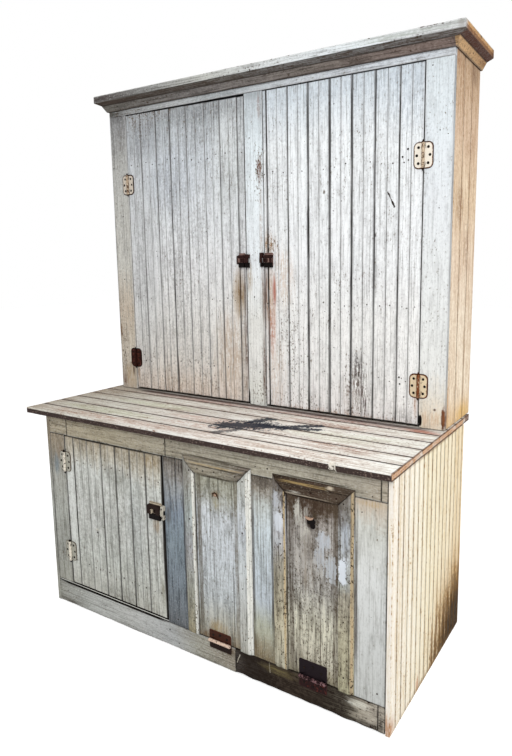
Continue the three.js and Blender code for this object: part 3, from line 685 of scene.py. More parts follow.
upper_right_door_paint = painted(
    "upper_right_door_paint", "z",
    {800: 0xFCFAF8, 950: 0xFCFCFA, 1100: 0xFCFCFA, 1300: 0xFAFCFD, 1700: 0xF7FBFD,
     1860: 0xD8E1E8},
    lines=0.32, vary=0.3, flecks=0.2,
    under=[front(560, 1820, 130, 200, 0xBEC8D2, 0.5, streaks=0.7)],
    over=[
        front(40, 1170, 34, 180, 0xBE9C7E, 0.85, streaks=0.7),
        front(24, 1190, 7, 150, 0x624230, 0.85, streaks=0.4),
        front(58, 1205, 11, 80, 0xA4462A, 0.95, streaks=0.25),
        front(48, 1050, 22, 130, 0xB86C4A, 0.8, streaks=0.8),
        front(100, 1250, 60, 160, 0xD6BEA8, 0.6, streaks=0.95),
        front(60, 900, 60, 220, 0xDCC6B2, 0.5, streaks=0.9),
        front(36, 1370, 40, 60, 0xB08C68, 0.7, streaks=0.9, ragged=0.8),
        front(300, 778, 460, 24, 0xB8967C, 0.65, streaks=1, ragged=0.8),
        front(386, 925, 17, 90, 0x281E1B, 0.95, streaks=1, ragged=1.1, soft=0.6),
        front(400, 900, 34, 110, 0x3A2C28, 0.9, streaks=1, ragged=1.2, soft=0.5),
        front(415, 830, 16, 70, 0x402822, 0.95, streaks=1, ragged=1.1, soft=0.6),
        front(370, 860, 70, 120, 0xBAACA4, 0.45, streaks=1, ragged=0.9),
        front(560, 800, 60, 40, 0xA09E9C, 0.7, streaks=1, ragged=0.9),
        front(598, 845, 12, 60, 0xB08262, 0.6, streaks=0.6),
        front(450, 1391, 7, 11, 0x403024, 0.9, streaks=0, ragged=0.6),
        front(263, 1538, 6, 9, 0x605448, 0.9, streaks=0, ragged=0.6),
    ],
    flaked=[(120, 1000, 150, 330, 0.05), (330, 770, 400, 140, 0.05),
            (385, 900, 60, 150, 0.08), (40, 1370, 60, 80, 0.1)],
    strokes=[((492, 427, 1523), (515, 427, 1477), 2.5, 0x342C28, 1.0)], **upper)

upper_right_stile_paint = painted(
    "upper_right_stile_paint", "z",
    {800: 0xEADECA, 950: 0xECEDEA, 1100: 0xEEF0EE, 1500: 0xE7EBEE, 1700: 0xE3EAEE,
     1860: 0xD8E0E4},
    lines=0.16, vary=0.3, flecks=0.2,
    over=[
        front(654, 800, 40, 40, 0xCEA678, 0.7, streaks=0.9, ragged=0.8),
        front(614, 796, 8, 22, 0x100B09, 1.0, streaks=0, soft=0.7, ragged=0.2),
        front(690, 806, 7, 46, 0x3E2014, 1.0, streaks=0.1, soft=0.7, ragged=0.6),
        front(692, 806, 14, 60, 0x965C36, 0.8, streaks=0.7, ragged=0.8),
        front(662, 836, 7, 7, 0x48281A, 1.0, streaks=0, ragged=0.4),
    ], **upper)

frieze_paint = painted(
    "frieze_paint", "x",
    {-742: 0x5E5E5A, -650: 0xA2A4A4, -400: 0xBEC1C2, -200: 0xB8BEC0, 200: 0xCED3D8,
     600: 0xD4DAE0, 690: 0xCCD0D4},
    flecks=0.25, lines=0.5, vary=0.6,
    over=[front(-700, 1920, 90, 60, 0x46423E, 0.7, streaks=0.8, ragged=0.8)],
    flaked=[(-700, 1920, 150, 60, 0.08)], **upper)

# Paint of the lower case

lower = dict(dark=0x26211D, line=0x6C6658, wood=0x7E705A, light=0xE2E4E0, foul_and_shade=0.35, edge=0.03,
             smeared=0.25)

base_left_stile_paint = painted(
    "base_left_stile_paint", "z",
    {100: 0xB8B8AE, 250: 0xB2B3AC, 400: 0xC2C4BD, 500: 0xBCBCB4, 560: 0xA2A098,
     660: 0xAC9F8B},
    over=[
        front(-655, 560, 18, 60, 0x6E808C, 0.85, streaks=0.5),
        front(-630, 610, 26, 40, 0x84684C, 0.7, streaks=0.7),
        front(-684, 400, 6, 400, 0x322E2C, 0.7, streaks=0.6),
    ], **lower)

lower_door_paint = painted(
    "lower_door_paint", "z",
    {96: 0xD6D6CD, 250: 0xE1E4DE, 400: 0xE5E7E3, 560: 0xEBEEE9, 620: 0xD8D1C1,
     677: 0xBEB29C},
    vary=0.42, lines=0.36, figure=0.2,
    under=[
        front(-340, 560, 90, 60, 0xB0B0A8, 0.7),
        front(-360, 120, 120, 50, 0xA2A29A, 0.7),
        front(-360, 350, 60, 160, 0xB4B6B0, 0.7),
        front(-250, 400, 60, 260, 0xB0B6B6, 0.5, streaks=0.4),
    ],
    over=[
        front(-150, 432, 26, 46, 0x947A56, 0.8, streaks=0.5, ragged=0.6),
        front(-130, 190, 20, 90, 0x928E7C, 0.6, streaks=0.6),
        front(-170, 650, 50, 36, 0x96805C, 0.7, streaks=0.8),
        # Painted shadows in the gaps at the door's foot, right edge and top
        strip(-360, 96, 260, 4, 0x181412, 1.0, streaks=0, soft=0.7, ragged=0.1),
        strip(-122, 390, 4, 290, 0x2C2620, 0.9, streaks=0.1, soft=0.4),
        strip(-360, 677, 250, 4, 0x2C261E, 0.8, streaks=0.2, soft=0.4),
        front(-449, 333, 6, 5, 0x28221E, 1.0, streaks=0, ragged=0.2, soft=0.6),
        front(-449, 345, 14, 7, 0xDCDACE, 0.9, streaks=0.1, ragged=0.3),
    ], **lower)

door_stile_paint = painted(
    "door_stile_paint", "z",
    {90: 0x707376, 250: 0x848E96, 400: 0x8B98A0, 500: 0x8F9AA6, 600: 0xA8AAAA,
     640: 0x98938C, 677: 0x7A7268},
    line=0x606062, dark=0x262222, light=0xCED8DE, wood=0x685C4C, foul_and_shade=0.6, edge=0.03,
    over=[
        front(-40, 650, 44, 30, 0x3E3834, 0.8, streaks=0.7),
        front(-96, 480, 16, 60, 0x5C5A58, 0.7, streaks=0.5),
        # Painted shadows beside the low door's gap and beside bin 1's moulding
        strip(-113, 390, 5, 300, 0x282524, 0.9, streaks=0.1, soft=0.3),
        strip(-26, 390, 6, 320, 0x3E3A38, 0.85, streaks=0.2, soft=0.3),
    ], vary=0.65, lines=0.5, smeared=0.4)

bin_stile_paint = painted(
    "bin_stile_paint", "z",
    {95: 0x94866C, 190: 0xBCBEAC, 290: 0xC8D1D9, 500: 0xD6E0E5, 600: 0xCCD1CE,
     650: 0x9E968A, 677: 0x6E665C},
    over=[
        front(250, 130, 16, 70, 0x54422C, 0.8, streaks=0.7, ragged=0.7),
        front(325, 130, 10, 90, 0x605A46, 0.8, streaks=0.6),
        front(283, 660, 60, 20, 0x5C544C, 0.8, streaks=0.6),
        # Painted shadows beside the mouldings of bin 1 and bin 2
        strip(249, 390, 6, 320, 0x3C342C, 0.85, streaks=0.2, soft=0.3),
        strip(318, 390, 6, 320, 0x3C342C, 0.85, streaks=0.2, soft=0.3),
    ], **lower)

base_right_stile_paint = painted(
    "base_right_stile_paint", "z",
    {90: 0xC9CBC8, 300: 0xD3D5D3, 450: 0xDDDFDD, 600: 0xD3D4CD, 660: 0xCEC2B2},
    lines=0.2, vary=0.3, flecks=0.12,
    over=[
        front(640, 668, 70, 14, 0xBAA07A, 0.7, streaks=0.6),
        # Painted shadow beside bin 2's moulding
        strip(594, 390, 6, 320, 0x463C32, 0.85, streaks=0.2, soft=0.3),
    ], **lower)

top_rail_paint = painted(
    "top_rail_paint", "x",
    {-684: 0xB8AD98, -400: 0xB6AC95, 0: 0xACA595, 300: 0xBCB6A5, 600: 0xB2AB9C,
     684: 0xC8BCAA},
    bare=0.015,
    over=[
        # Painted shadow under the worktop's nosing, and painted shadows in the gaps over the two bins
        front(0, 748, 900, 9, 0x3C342C, 0.7, streaks=0.3),
        strip(111, 701, 138, 4, 0x3A3228, 0.85, streaks=0.2, soft=0.3),
        strip(456, 701, 138, 4, 0x302820, 0.9, streaks=0.2, soft=0.3),
    ], **lower)

foot_paint = painted(
    "foot_paint", "x",
    {-684: 0xA8A8A0, -500: 0xC2C4C0, -300: 0xC6C7C4, -100: 0xBCBEBE, 20: 0xB0AEA2,
     165: 0xA49C8E},
    lines=0.28, vary=0.35, flecks=0.35,
    over=[
        # Painted shadow in the gap under the sill strip
        strip(-400, 84.6, 290, 3.6, 0x181412, 1.0, streaks=0, soft=0.8, ragged=0.1),
        strip(-400, 90.5, 290, 1.8, 0xE8E8E0, 0.9, streaks=0.3, soft=0.9, ragged=0.1),
        strip(-260, 0, 430, 7, 0x423A30, 0.8, streaks=0.5, soft=0.3),
        front(-40, 68, 80, 30, 0x96948E, 0.6, streaks=0.9, ragged=0.9),
        front(140, 70, 50, 22, 0x5C422A, 0.7, streaks=0.6),
        front(-640, 10, 90, 16, 0x463C32, 0.6, streaks=0.6),
    ], **lower)

rot_wood = painted(
    "rot_wood", "x",
    {171: 0x524C48, 300: 0x564E48, 380: 0x827264, 480: 0x62584D, 560: 0xA8A190,
     660: 0xC4BCAE},
    line=0x50463C, dark=0x1C1612, light=0x787062, wood=0x3C2E24, foul_and_shade=0.8, bare=0.04, vary=0.8, wander=60,
    over=[
        strip(390, 20, 219, 74, 0x221A14, 0.94, streaks=0.2, soft=0.8, ragged=0.2),
        front(330, 68, 90, 18, 0x7C704C, 0.75, streaks=0.8, ragged=0.7),
        front(440, 80, 60, 16, 0x888062, 0.7, streaks=0.8, ragged=0.7),
        front(600, 64, 46, 15, 0xE0DED2, 0.8, streaks=0.6, ragged=0.7, soft=0.4),
        front(590, 10, 110, 20, 0x2A231C, 0.9, streaks=0.4, ragged=0.7),
        front(672, 20, 12, 46, 0x2C241E, 0.85, streaks=0.4),
    ],
    strokes=[
        ((188, 0, 70), (176, 0, 40), 1.8, 0xBEB8AA, 0.8),
        ((300, 0, 84), (303, 0, 52), 2, 0x968E7C, 0.7),
    ])

# Sides

side_paint = painted(
    "side_paint", "z",
    {0: 0xFEF9F0, 120: 0xFEFAEE, 300: 0xFEF8E2, 540: 0xFEF4DB, 637: 0xF7E7C8},
    along="y", dark=0x6C4E2C, line=0xD8C08C, wood=0xD0AA6C, light=0xFCF8F0, lines=0.36, vary=0.2,
    smeared=0.1, flecks=0.15, foul_and_shade=0.4, edge=0.08, wander=60, bare=0.01,
    over=[
        flank(720, 40, 460, 480, 0xD4AC70, 0.8, streaks=0.7, ragged=0.5),
        flank(740, -30, 540, 400, 0xAE8040, 0.94, streaks=0.5, ragged=0.5, soft=0.6),
        flank(740, -30, 460, 310, 0x664822, 0.97, streaks=0.3, ragged=0.5, soft=0.7),
        flank(745, -30, 370, 230, 0x281D13, 0.98, streaks=0.2, ragged=0.45, soft=0.7),
        flank(430, -6, 300, 26, 0x60482C, 0.85, streaks=0.6, ragged=0.6),
        flank(10, 20, 30, 60, 0xB0703C, 0.8, streaks=0.6, ragged=0.6),
        flank(480, 0, 150, 40, 0x4A3622, 0.9, streaks=0.6, ragged=0.6),
        flank(214, 20, 14, 44, 0xB06428, 0.8, streaks=0.4),
        flank(300, 8, 320, 14, 0x967A54, 0.75, streaks=0.6, ragged=0.6),
        flank(330, 746, 330, 10, 0x967048, 0.7, streaks=0.4),
    ])

tan_board = painted(
    "tan_board", "z",
    {780: 0xEED2A6, 860: 0xFCF0DB, 1100: 0xFAEEDA, 1300: 0xF6E6D1, 1500: 0xF1DEC2,
     1700: 0xE0C8AF, 1880: 0xCEB599},
    dark=0x6E4C2E, line=0xBA9870, wood=0xAA7C52, light=0xFAF0DE, foul_and_shade=0.3, edge=0.06, vary=0.55, lines=0.45,
    smeared=0.25,
    over=[
        flank(620, 790, 90, 60, 0xDEB468, 0.7, streaks=0.6),
        flank(520, 1480, 60, 90, 0x784E32, 0.8, streaks=0.95, ragged=0.9),
        flank(600, 1350, 70, 120, 0x8C603E, 0.65, streaks=0.95, ragged=0.9),
        flank(455, 850, 12, 100, 0xBA8250, 0.7, streaks=0.6),
        flank(640, 1890, 60, 50, 0x6E503A, 0.75, streaks=0.6),
        flank(470, 1895, 30, 40, 0x96603E, 0.65, streaks=0.8),
    ])

# Bins, each with its panel, left leg, right leg and top member

bin_1 = dict(dark=0x2E2720, line=0x686256, wood=0x847862, light=0xE2E6E4, foul_and_shade=0.6, edge=0.02, bare=0.01,
             figure=0.35, flecks=0.15, vary=0.5, lines=0.42, smeared=0.28,
             chip_shares=(0.36, 0.1, 0.12, 0.4), chip_dark=0.8)
bin_1_panel = painted(
    "bin_1_panel", "z",
    {95: 0xA89980, 150: 0xC6C5BA, 250: 0xD5DBDE, 400: 0xDBE1E6, 520: 0xE0E5E9,
     600: 0xBCBCAF, 650: 0xA8A694},
    over=[
        # Painted shadows along the moulding's inner edges
        strip(40, 390, 9, 330, 0x60584A, 0.75, streaks=0.3, soft=0.7, ragged=0.15),
        strip(186, 390, 8, 330, 0x787062, 0.6, streaks=0.4, soft=0.7, ragged=0.15),
        front(110, 560, 22, 30, 0xAAA286, 0.7, streaks=0.6),
        front(104, 136, 50, 40, 0xA69068, 0.7, streaks=0.7),
        front(107, 590, 26, 20, 0x8C7C62, 0.8, streaks=0.5, ragged=0.7),
        front(60, 100, 40, 26, 0x604830, 0.8, streaks=0.6),
        # Painted shadow under the top member of the moulding
        strip(111, 645, 80, 6, 0x40362C, 0.85, streaks=0.2, soft=0.5),
    ], **bin_1)
# The legs' step highlight colour paints the highlight on their right-facing steps
bin_1_left = painted(
    "bin_1_left", "z",
    {90: 0xB2A88A, 250: 0xB1B2A7, 400: 0xBEBFC3, 500: 0xC5CECC, 640: 0xB4B2AA},
    step_highlight=0xECE8DA, **bin_1)
bin_1_right = painted(
    "bin_1_right", "z",
    {90: 0xBEBCB2, 250: 0xCCCECB, 400: 0xD6DCDE, 500: 0xD8DEE4, 640: 0xC8CAC4},
    step_highlight=0xF0ECE0, **bin_1)
bin_1_top = painted(
    "bin_1_top", "x", {-24: 0xA09684, 110: 0x9A9484, 245: 0x7E746A},
    over=[
        strip(111, 682, 118, 3, 0xCCB286, 0.6, streaks=0.6, soft=0.6),
        strip(111, 677, 116, 2.5, 0x342A20, 0.75, streaks=0.3, soft=0.6),
        front(66, 662, 5, 5, 0x28201A, 0.9, streaks=0, ragged=0.4),
    ], **bin_1)

bin_2 = dict(dark=0x2A211B, line=0x584C3C, wood=0x625442, light=0xB0A896, foul_and_shade=0.7, edge=0.03, bare=0.03,
             figure=0.3, flecks=0.2, vary=0.7, lines=0.5, smeared=0.4, wander=110,
             chip_shares=(0.3, 0.08, 0.12, 0.48), chip_dark=0.9)
bin_2_panel = painted(
    "bin_2_panel", "z",
    {95: 0xA69F8A, 150: 0xD4CFBD, 250: 0xDEDBC8, 400: 0xC2C0BB, 560: 0xB0AAA4,
     610: 0x685A4E, 650: 0x4C3E32},
    over=[
        # Painted shadows along the moulding's inner edges
        strip(385, 390, 9, 330, 0x463A2E, 0.75, streaks=0.4, soft=0.7, ragged=0.2),
        strip(530, 390, 9, 330, 0x54483A, 0.7, streaks=0.4, soft=0.7, ragged=0.2),
        front(456, 625, 84, 40, 0x423228, 0.8, streaks=0.6, ragged=0.6),
        front(405, 590, 18, 50, 0xCECCC2, 0.8, streaks=1, ragged=1, soft=0.6),
        front(490, 528, 26, 32, 0xC4CAD2, 0.85, streaks=0.5, ragged=1.1, soft=0.7),
        front(478, 480, 22, 40, 0xBCC1C8, 0.75, streaks=0.7, ragged=1.2, soft=0.7),
        front(514, 448, 22, 44, 0xC2C8CE, 0.8, streaks=0.6, ragged=1.2, soft=0.7),
        front(425, 455, 40, 60, 0xC4BEB6, 0.7, streaks=1, ragged=1, soft=0.5),
        front(430, 540, 22, 70, 0xCCC8BE, 0.8, streaks=1, ragged=1, soft=0.5),
        front(440, 500, 34, 60, 0x6E645A, 0.65, streaks=0.8, ragged=0.9),
        front(440, 400, 40, 50, 0x92887A, 0.6, streaks=0.8, ragged=0.9),
        front(450, 572, 22, 26, 0x261913, 0.97, streaks=0.1, ragged=0.6),
        front(480, 120, 60, 30, 0x82785C, 0.6, streaks=0.8),
        front(398, 130, 5, 60, 0x221A14, 0.95, streaks=0.1, ragged=0.4),
        # Painted shadow under the top member of the moulding
        strip(456, 646, 90, 4, 0x221A14, 0.9, streaks=0.1, soft=0.5),
    ],
    flaked=[(440, 600, 120, 90, 0.05), (480, 130, 90, 90, 0.05)], **bin_2)
# The legs' step highlight colour paints the highlight on their right-facing steps
bin_2_left = painted(
    "bin_2_left", "z",
    {90: 0xC6C2AE, 250: 0xCEC6AC, 380: 0xACA694, 430: 0xACA89C, 500: 0xC8C8CB,
     560: 0xD4D7DC, 660: 0x7A726A},
    step_highlight=0xDEC08A, step_highlight_share=0.9,
    over=[
        front(336, 622, 14, 30, 0xCED2D8, 0.85, streaks=0.6, ragged=1, soft=0.7),
        front(343, 560, 17, 36, 0xDCE1E8, 0.9, streaks=0.3, ragged=1, soft=0.7),
        front(340, 500, 15, 20, 0xCCD0D4, 0.85, streaks=0.5, ragged=1, soft=0.7),
        front(362, 620, 6, 40, 0x3A2C24, 0.7, streaks=0.6, ragged=0.8),
    ], **bin_2)
bin_2_right = painted(
    "bin_2_right", "z",
    {90: 0xBCB79A, 250: 0xCCC6AC, 380: 0xB6B0A0, 430: 0xD4DAD6, 500: 0xC8CCCE,
     570: 0xB5B8B8, 640: 0x88827A},
    step_highlight=0xD0B280, step_highlight_share=0.8,
    over=[
        strip(556, 456, 15, 40, 0xDEE4EB, 0.97, streaks=0.15, ragged=0.7, soft=0.8),
        front(562, 566, 14, 64, 0xC4CBD4, 0.85, streaks=0.8, ragged=1, soft=0.5),
        front(553, 612, 20, 50, 0x46362C, 0.8, streaks=0.7, ragged=0.8),
    ], **bin_2)
bin_2_top = painted(
    "bin_2_top", "x", {321: 0x54463A, 460: 0x4E4036, 590: 0x5C5044},
    over=[
        strip(430, 686, 90, 4, 0xB29866, 0.7, streaks=0.7, soft=0.6),
        front(515, 690, 16, 7, 0xDED0B8, 0.9, streaks=0.3, ragged=0.5),
        strip(440, 653, 100, 2.5, 0xC4B8A4, 0.6, streaks=0.7, soft=0.5),
        front(400, 657, 30, 7, 0xCECABE, 0.7, streaks=0.8, ragged=0.8),
    ], **bin_2)

# Worktop and cornice

# Colour of the dark branch-shaped mark across the worktop boards
BRANCH_MARK = 0x2C2F38
top_paint = painted(
    "top_paint", "x",
    {-784: 0xB8B0A2, -700: 0xCECBC0, -500: 0xDBDAD1, -300: 0xE9E7E0, -100: 0xE6E4DE,
     250: 0xF2EFE9, 700: 0xF9F9F3},
    dark=0x3E3330, line=0xAC927C, wood=0x96705C, light=0xF8F6EE, nose=0x74645C, bare=0.04,
    ragged=0.35, edge=0.08, flecks=0.3, foul_and_shade=0.6, vary=0.5, smeared=0.38, lines=0.45, chip_dark=0.35,
    chip_shares=(0.34, 0.2, 0.24, 0.16),
    under=[
        deck(-300, 20, 520, 36, 0xBE947E, 0.7, streaks=0.9, soft=0.4, square=True),
        deck(350, 16, 360, 30, 0xCCAC98, 0.65, streaks=1, soft=0.4, square=True),
        deck(-450, 94, 320, 44, 0xBEC4A0, 0.7, streaks=0.8, soft=0.4),
        deck(-60, 98, 220, 36, 0xC2947E, 0.65, streaks=1, soft=0.4),
        deck(-350, 250, 280, 42, 0xC6CBA8, 0.65, streaks=0.8, soft=0.4),
        deck(0, 172, 260, 38, 0xD0A896, 0.7, streaks=0.9, soft=0.6),
        deck(400, 200, 200, 60, 0xE0E2CC, 0.6, streaks=0.7, soft=0.5),
        deck(480, 110, 160, 44, 0xBE9682, 0.7, streaks=1, soft=0.6),
        deck(330, 320, 200, 30, 0xC49C8C, 0.7, streaks=1, soft=0.6),
        deck(560, 240, 130, 36, 0xDEE2CC, 0.6, streaks=0.9, soft=0.4),
        deck(-700, 330, 160, 140, 0xA08E78, 0.5, streaks=0.6),
        deck(420, 330, 120, 40, 0xD6BAAA, 0.5, streaks=0.7),
    ],
    over=[
        deck(20, 388, 720, 18, 0x967068, 0.75, streaks=0.7, soft=0.6, ragged=0.2, square=True),
        deck(0, 416, 720, 15, 0x402A28, 0.95, streaks=0.15, soft=0.8, ragged=0.1, square=True),
        deck(640, 392, 90, 24, 0xA85C42, 0.8, streaks=0.4, ragged=0.5),
        spot(706, 300, 760, 6, 500, 30, 0xC48A52, 0.95, streaks=0.4, soft=0.7, ragged=0.15, square=True),
        spot(704, 340, 770, 6, 460, 5, 0x42281C, 0.9, streaks=0.4, soft=0.7, ragged=0.3, square=True),
        spot(706, 380, 759, 5, 440, 1.6, 0x684026, 0.7, streaks=0.5, soft=0.5, ragged=0.4, square=True),
        spot(704, 300, 748, 6, 500, 6, 0x362218, 0.95, streaks=0.2, soft=0.7, ragged=0.2, square=True),
        spot(700, 670, 762, 26, 34, 40, 0x543022, 0.9, streaks=0.4, ragged=0.4, soft=0.5),
            ],
    strokes=[
        ((40, 150, 770), (150, 200, 770), 48, BRANCH_MARK, 0.95),
        ((62, 60, 770), (110, 130, 770), 16, 0x4A484A, 0.8),
        ((90, 215, 770), (126, 278, 770), 23, BRANCH_MARK, 0.95),
        ((120, 276, 770), (150, 284, 770), 9, 0x505454, 0.8),
        ((150, 200, 770), (230, 215, 770), 27, BRANCH_MARK, 0.95),
        ((215, 215, 770), (318, 288, 770), 17, BRANCH_MARK, 0.95),
        ((225, 208, 770), (340, 247, 770), 14, BRANCH_MARK, 0.95),
        ((528, -18, 772), (531, -18, 746), 10, 0xE8E2D6, 0.95),
    ])

cornice = dict(dark=0x2E2621, line=0x6A625C, wood=0x54463C, light=0xCED0CC, foul_and_shade=0.4, edge=0.02, flecks=0.3,
               bare=0.02)
cornice_finish = painted(
    "cornice_finish", "x",
    {-780: 0x5C5654, -700: 0x625C5A, -500: 0x949492, -200: 0xC2C3BE, 100: 0xDADEDF,
     400: 0xE4EAED, 620: 0xD6D8D9},
    under=[spot(740, 560, 1970, 4, 176, 30, 0xD6A670, 1, streaks=0, soft=0.8, ragged=0.05, square=True)],
    over=[
        # Painted shade on the cornice's cove and underside, a painted shadow line under its fascia, and the
        # same on the right return
        spot(-20, 540, 1944, 900, 190, 10.5, 0x4E423A, 0.95, streaks=0.25, soft=0.9, ragged=0.06,
             square=True),
        spot(-20, 384, 1954.5, 900, 6, 1.8, 0x2E2826, 0.85, streaks=0.1, soft=0.5, ragged=0.1, square=True),
        spot(740, 560, 1959, 4, 190, 7, 0x704C36, 0.9, streaks=0.3, soft=0.8, ragged=0.1, square=True),
        spot(722, 570, 1948, 15, 176, 9, 0x54362C, 0.95, streaks=0.3, soft=0.9, ragged=0.05, square=True),
        spot(735, 700, 1960, 12, 40, 30, 0x5A4034, 0.8, streaks=0.3),
        spot(724, 386, 1966, 16, 12, 20, 0x80766E, 0.7, streaks=0.4),
        spot(560, 380, 1968, 220, 20, 9, 0xB0B6B0, 0.75, streaks=0.7, soft=0.5, square=True),
    ], **cornice)
bed_finish = painted(
    "bed_finish", "x", {-742: 0x78756F, -300: 0x908C8A, 200: 0x867E78, 690: 0x8C7B74},
    under=[
        spot(713, 570, 1932, 14, 180, 30, 0xD6B082, 1, streaks=0.1, soft=0.9, ragged=0.05, square=True),
        spot(713, 740, 1932, 14, 240, 30, 0x966C4C, 0.9, streaks=0.5, soft=0.1),
    ],
    over=[
        # Painted shadow lines under the bed moulding and where it meets the cornice
        spot(-20, 540, 1920.5, 900, 190, 2.6, 0x2C2420, 0.85, streaks=0.2, soft=0.5, ragged=0.1,
             square=True),
        spot(-20, 540, 1943, 900, 190, 2.2, 0x322A26, 0.85, streaks=0.2, soft=0.5, ragged=0.1,
             square=True),
    ], **{**cornice, "light": 0xA89E96, "flecks": 0.25})

raw = dict(line=0x967C60, dark=0x463222, wood=0x7C5C3C, light=0xD6BA96, speckle=0.3, flecks=0.25)
RAW_STOPS = {0: 0xB2926C, 700: 0xB89872, 1300: 0xAC8C68, 2000: 0xA08262}
bare_wood = painted("bare_wood", "z", RAW_STOPS, **raw)
bare_wood_across = painted("bare_wood_across", "x", {-700: 0xAE8E6A, 700: 0xB69670}, **raw)


# Iron

def iron(name, face, rust, black, rusty=0.0, edge=None):
    """Old iron. Its face colour breaks up into rust, most where it is marked as rubbed. Edge is a bright
    colour on marked rims instead, worn metal together with a painted highlight, and places marked as
    dark are black, soiling together with painted shade."""
    g = Graph(bpy.data.materials.new(name))
    place = g.node("TexCoord", {}).outputs["Object"]
    grit = g.noise(place, 520, 6, 0.65)
    blot = g.noise(place, 110, 4, 0.6)
    wear_and_glint = g.attribute("wear_and_glint")
    bite = g.total((0.55, blot), (0.45, grit), (0.0 if edge else 0.3, wear_and_glint), (1, rusty))
    mask = g.rise(bite, 0.58, 0.66)
    rust_colour = g.mix(g.rise(grit, 0.42, 0.6), srgb(rust), srgb(black))
    colour = g.mix(mask, srgb(face), rust_colour)
    # Rim colour: worn metal together with a painted highlight
    if edge:
        rim = g.rise(g.total((1, wear_and_glint), (0.9, blot), (0.5, grit)), 1.28, 1.42)
        colour = g.mix(rim, colour, srgb(edge))
    dirt_and_shade = g.rise(g.total((1, g.attribute("dirt_and_shade")), (0.6, grit), (1, -0.3)), 0.3, 0.7)
    colour = g.mix(dirt_and_shade, colour, srgb(black))
    roughness = g.total((0.3, mask), (0.15, grit), (1, 0.5))
    height = g.total((0.6, grit), (0.4, mask))
    return g.surface(colour, roughness, height, relief=0.6 * MM, strength=0.6, specular=0.06)


BLACK = 0x100B0A
white_iron = iron("white_iron", 0xEEE6D8, 0x8C5C42, 0x3A2820, -0.06)
cream_iron = iron("cream_iron", 0xE2D0B0, 0x965834, 0x3C2216, 0.02)
knuckle_iron = iron("knuckle_iron", 0xC4B098, 0x6E4632, 0x2C1C16, -0.1)
grey_iron = iron("grey_iron", 0xCEC4B6, 0x62483C, 0x30241E, 0.0)
rust_iron = iron("rust_iron", 0x522C24, 0x3A1E18, 0x1A0F0D, 0.12)
wall_iron = iron("wall_iron", 0xA8A69A, 0x685644, 0x28201A, -0.03)
barrel_iron = iron("barrel_iron", 0xECE4D4, 0x34261E, BLACK, -0.14)
screw_iron = iron("screw_iron", 0x221A16, 0x462C20, BLACK, -0.04)
# The edge colours below are painted highlights on the rims, together with worn metal
low_latch_iron = iron("low_latch_iron", 0x261A16, 0x1C1310, BLACK, 0.05, edge=0xBEB09A)
latch_iron = iron("latch_iron", 0x301C1A, 0x221412, BLACK, 0.05, edge=0x8C7068)
keeper_iron = iron("keeper_iron", 0xBAB4A6, 0x705844, 0x241C18, 0.03, edge=0xD8D0C2)
bin_1_iron = iron("bin_1_iron", 0x3C2117, 0x281711, 0x140D0B, 0.04, edge=0x543022)
bin_1_low_iron = iron("bin_1_low_iron", 0x201410, 0x341C14, 0x120C0A, 0.02, edge=0x2E1C16)
# Knuckle iron of bin 1, lighter than its leaves: a painted highlight along the barrel
bin_1_lit_barrel = iron("bin_1_lit_barrel", 0xDEC4B0, 0x542E20, 0x1A100D, -0.17)
bin_2_iron = iron("bin_2_iron", 0x1A1216, 0x28181A, 0x0E0A0B, -0.02, edge=0x281C20)
bin_2_low_iron = iron("bin_2_low_iron", 0x261414, 0x803E32, 0x160E0D, 0.06, edge=0x3E2424)
# Knuckle iron of bin 2, lighter than its leaves: a painted highlight along the barrel
bin_2_lit_barrel = iron("bin_2_lit_barrel", 0x8C6A6C, 0x2C1A1C, 0x100B0C, -0.06)
# Near-black material of the pieces that stand for shadow in gaps
gap_shadow = iron("gap_shadow", 0x141110, 0x1E1916, BLACK, 0.0)
chip_wood = iron("chip_wood", 0xBC9C86, 0x82604C, 0x3C2820, 0.0)
stump_wood = iron("stump_wood", 0x705840, 0x4A3426, 0x281C16, -0.02)


# Lower case

def node_box(*names):
    """Lowest and highest corner of some nodes together."""
    boxes = [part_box(name) for name in names]
    low = Vector([min(box[0][axis] for box in boxes) for axis in range(3)])
    high = Vector([max(box[1][axis] for box in boxes) for axis in range(3)])
    return low, high


BASE_PLANK = 38.7 * MM
TOP_RAIL_JOINTS = (-587, -99, 665)
BOTTOM_RAIL_JOINTS = (171, 663)
SILL_LOW, SILL_HIGH = 88.8, 92.2
FOOT_WEAR = 9 * MM


def case_side(name, way, plank, materials):
    """Side of planks. Way is 1 for the right side, whose face looks along +X. The front plank has
    the second material where there is one."""
    low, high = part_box(name)
    size = high - low
    count = math.ceil(size.y / plank)
    widths = [plank] * (count - 1) + [size.y - plank * (count - 1)]
    skin = Skin()
    origin = Vector((high.x if way > 0 else low.x, low.y, low.z))
    for index, width in enumerate(widths):
        lip = dice.uniform(1.1, 1.8) * MM
        plain = (index == 0, index == count - 1)
        outline = plank_outline(width, size.x, lip, plain=plain, edge=0.1, foul_and_shade=0.6)
        paint = 1 if index == 0 and len(materials) > 1 else 0
        start = origin + Y * plank * index
        lay(skin, outline, start, (Y, X * -way, Z), size.z, ragged=(RAGGED, 0), ends=(0.5, 0), paint=paint)
    dress(skin, name + "_planks", materials, (name,))


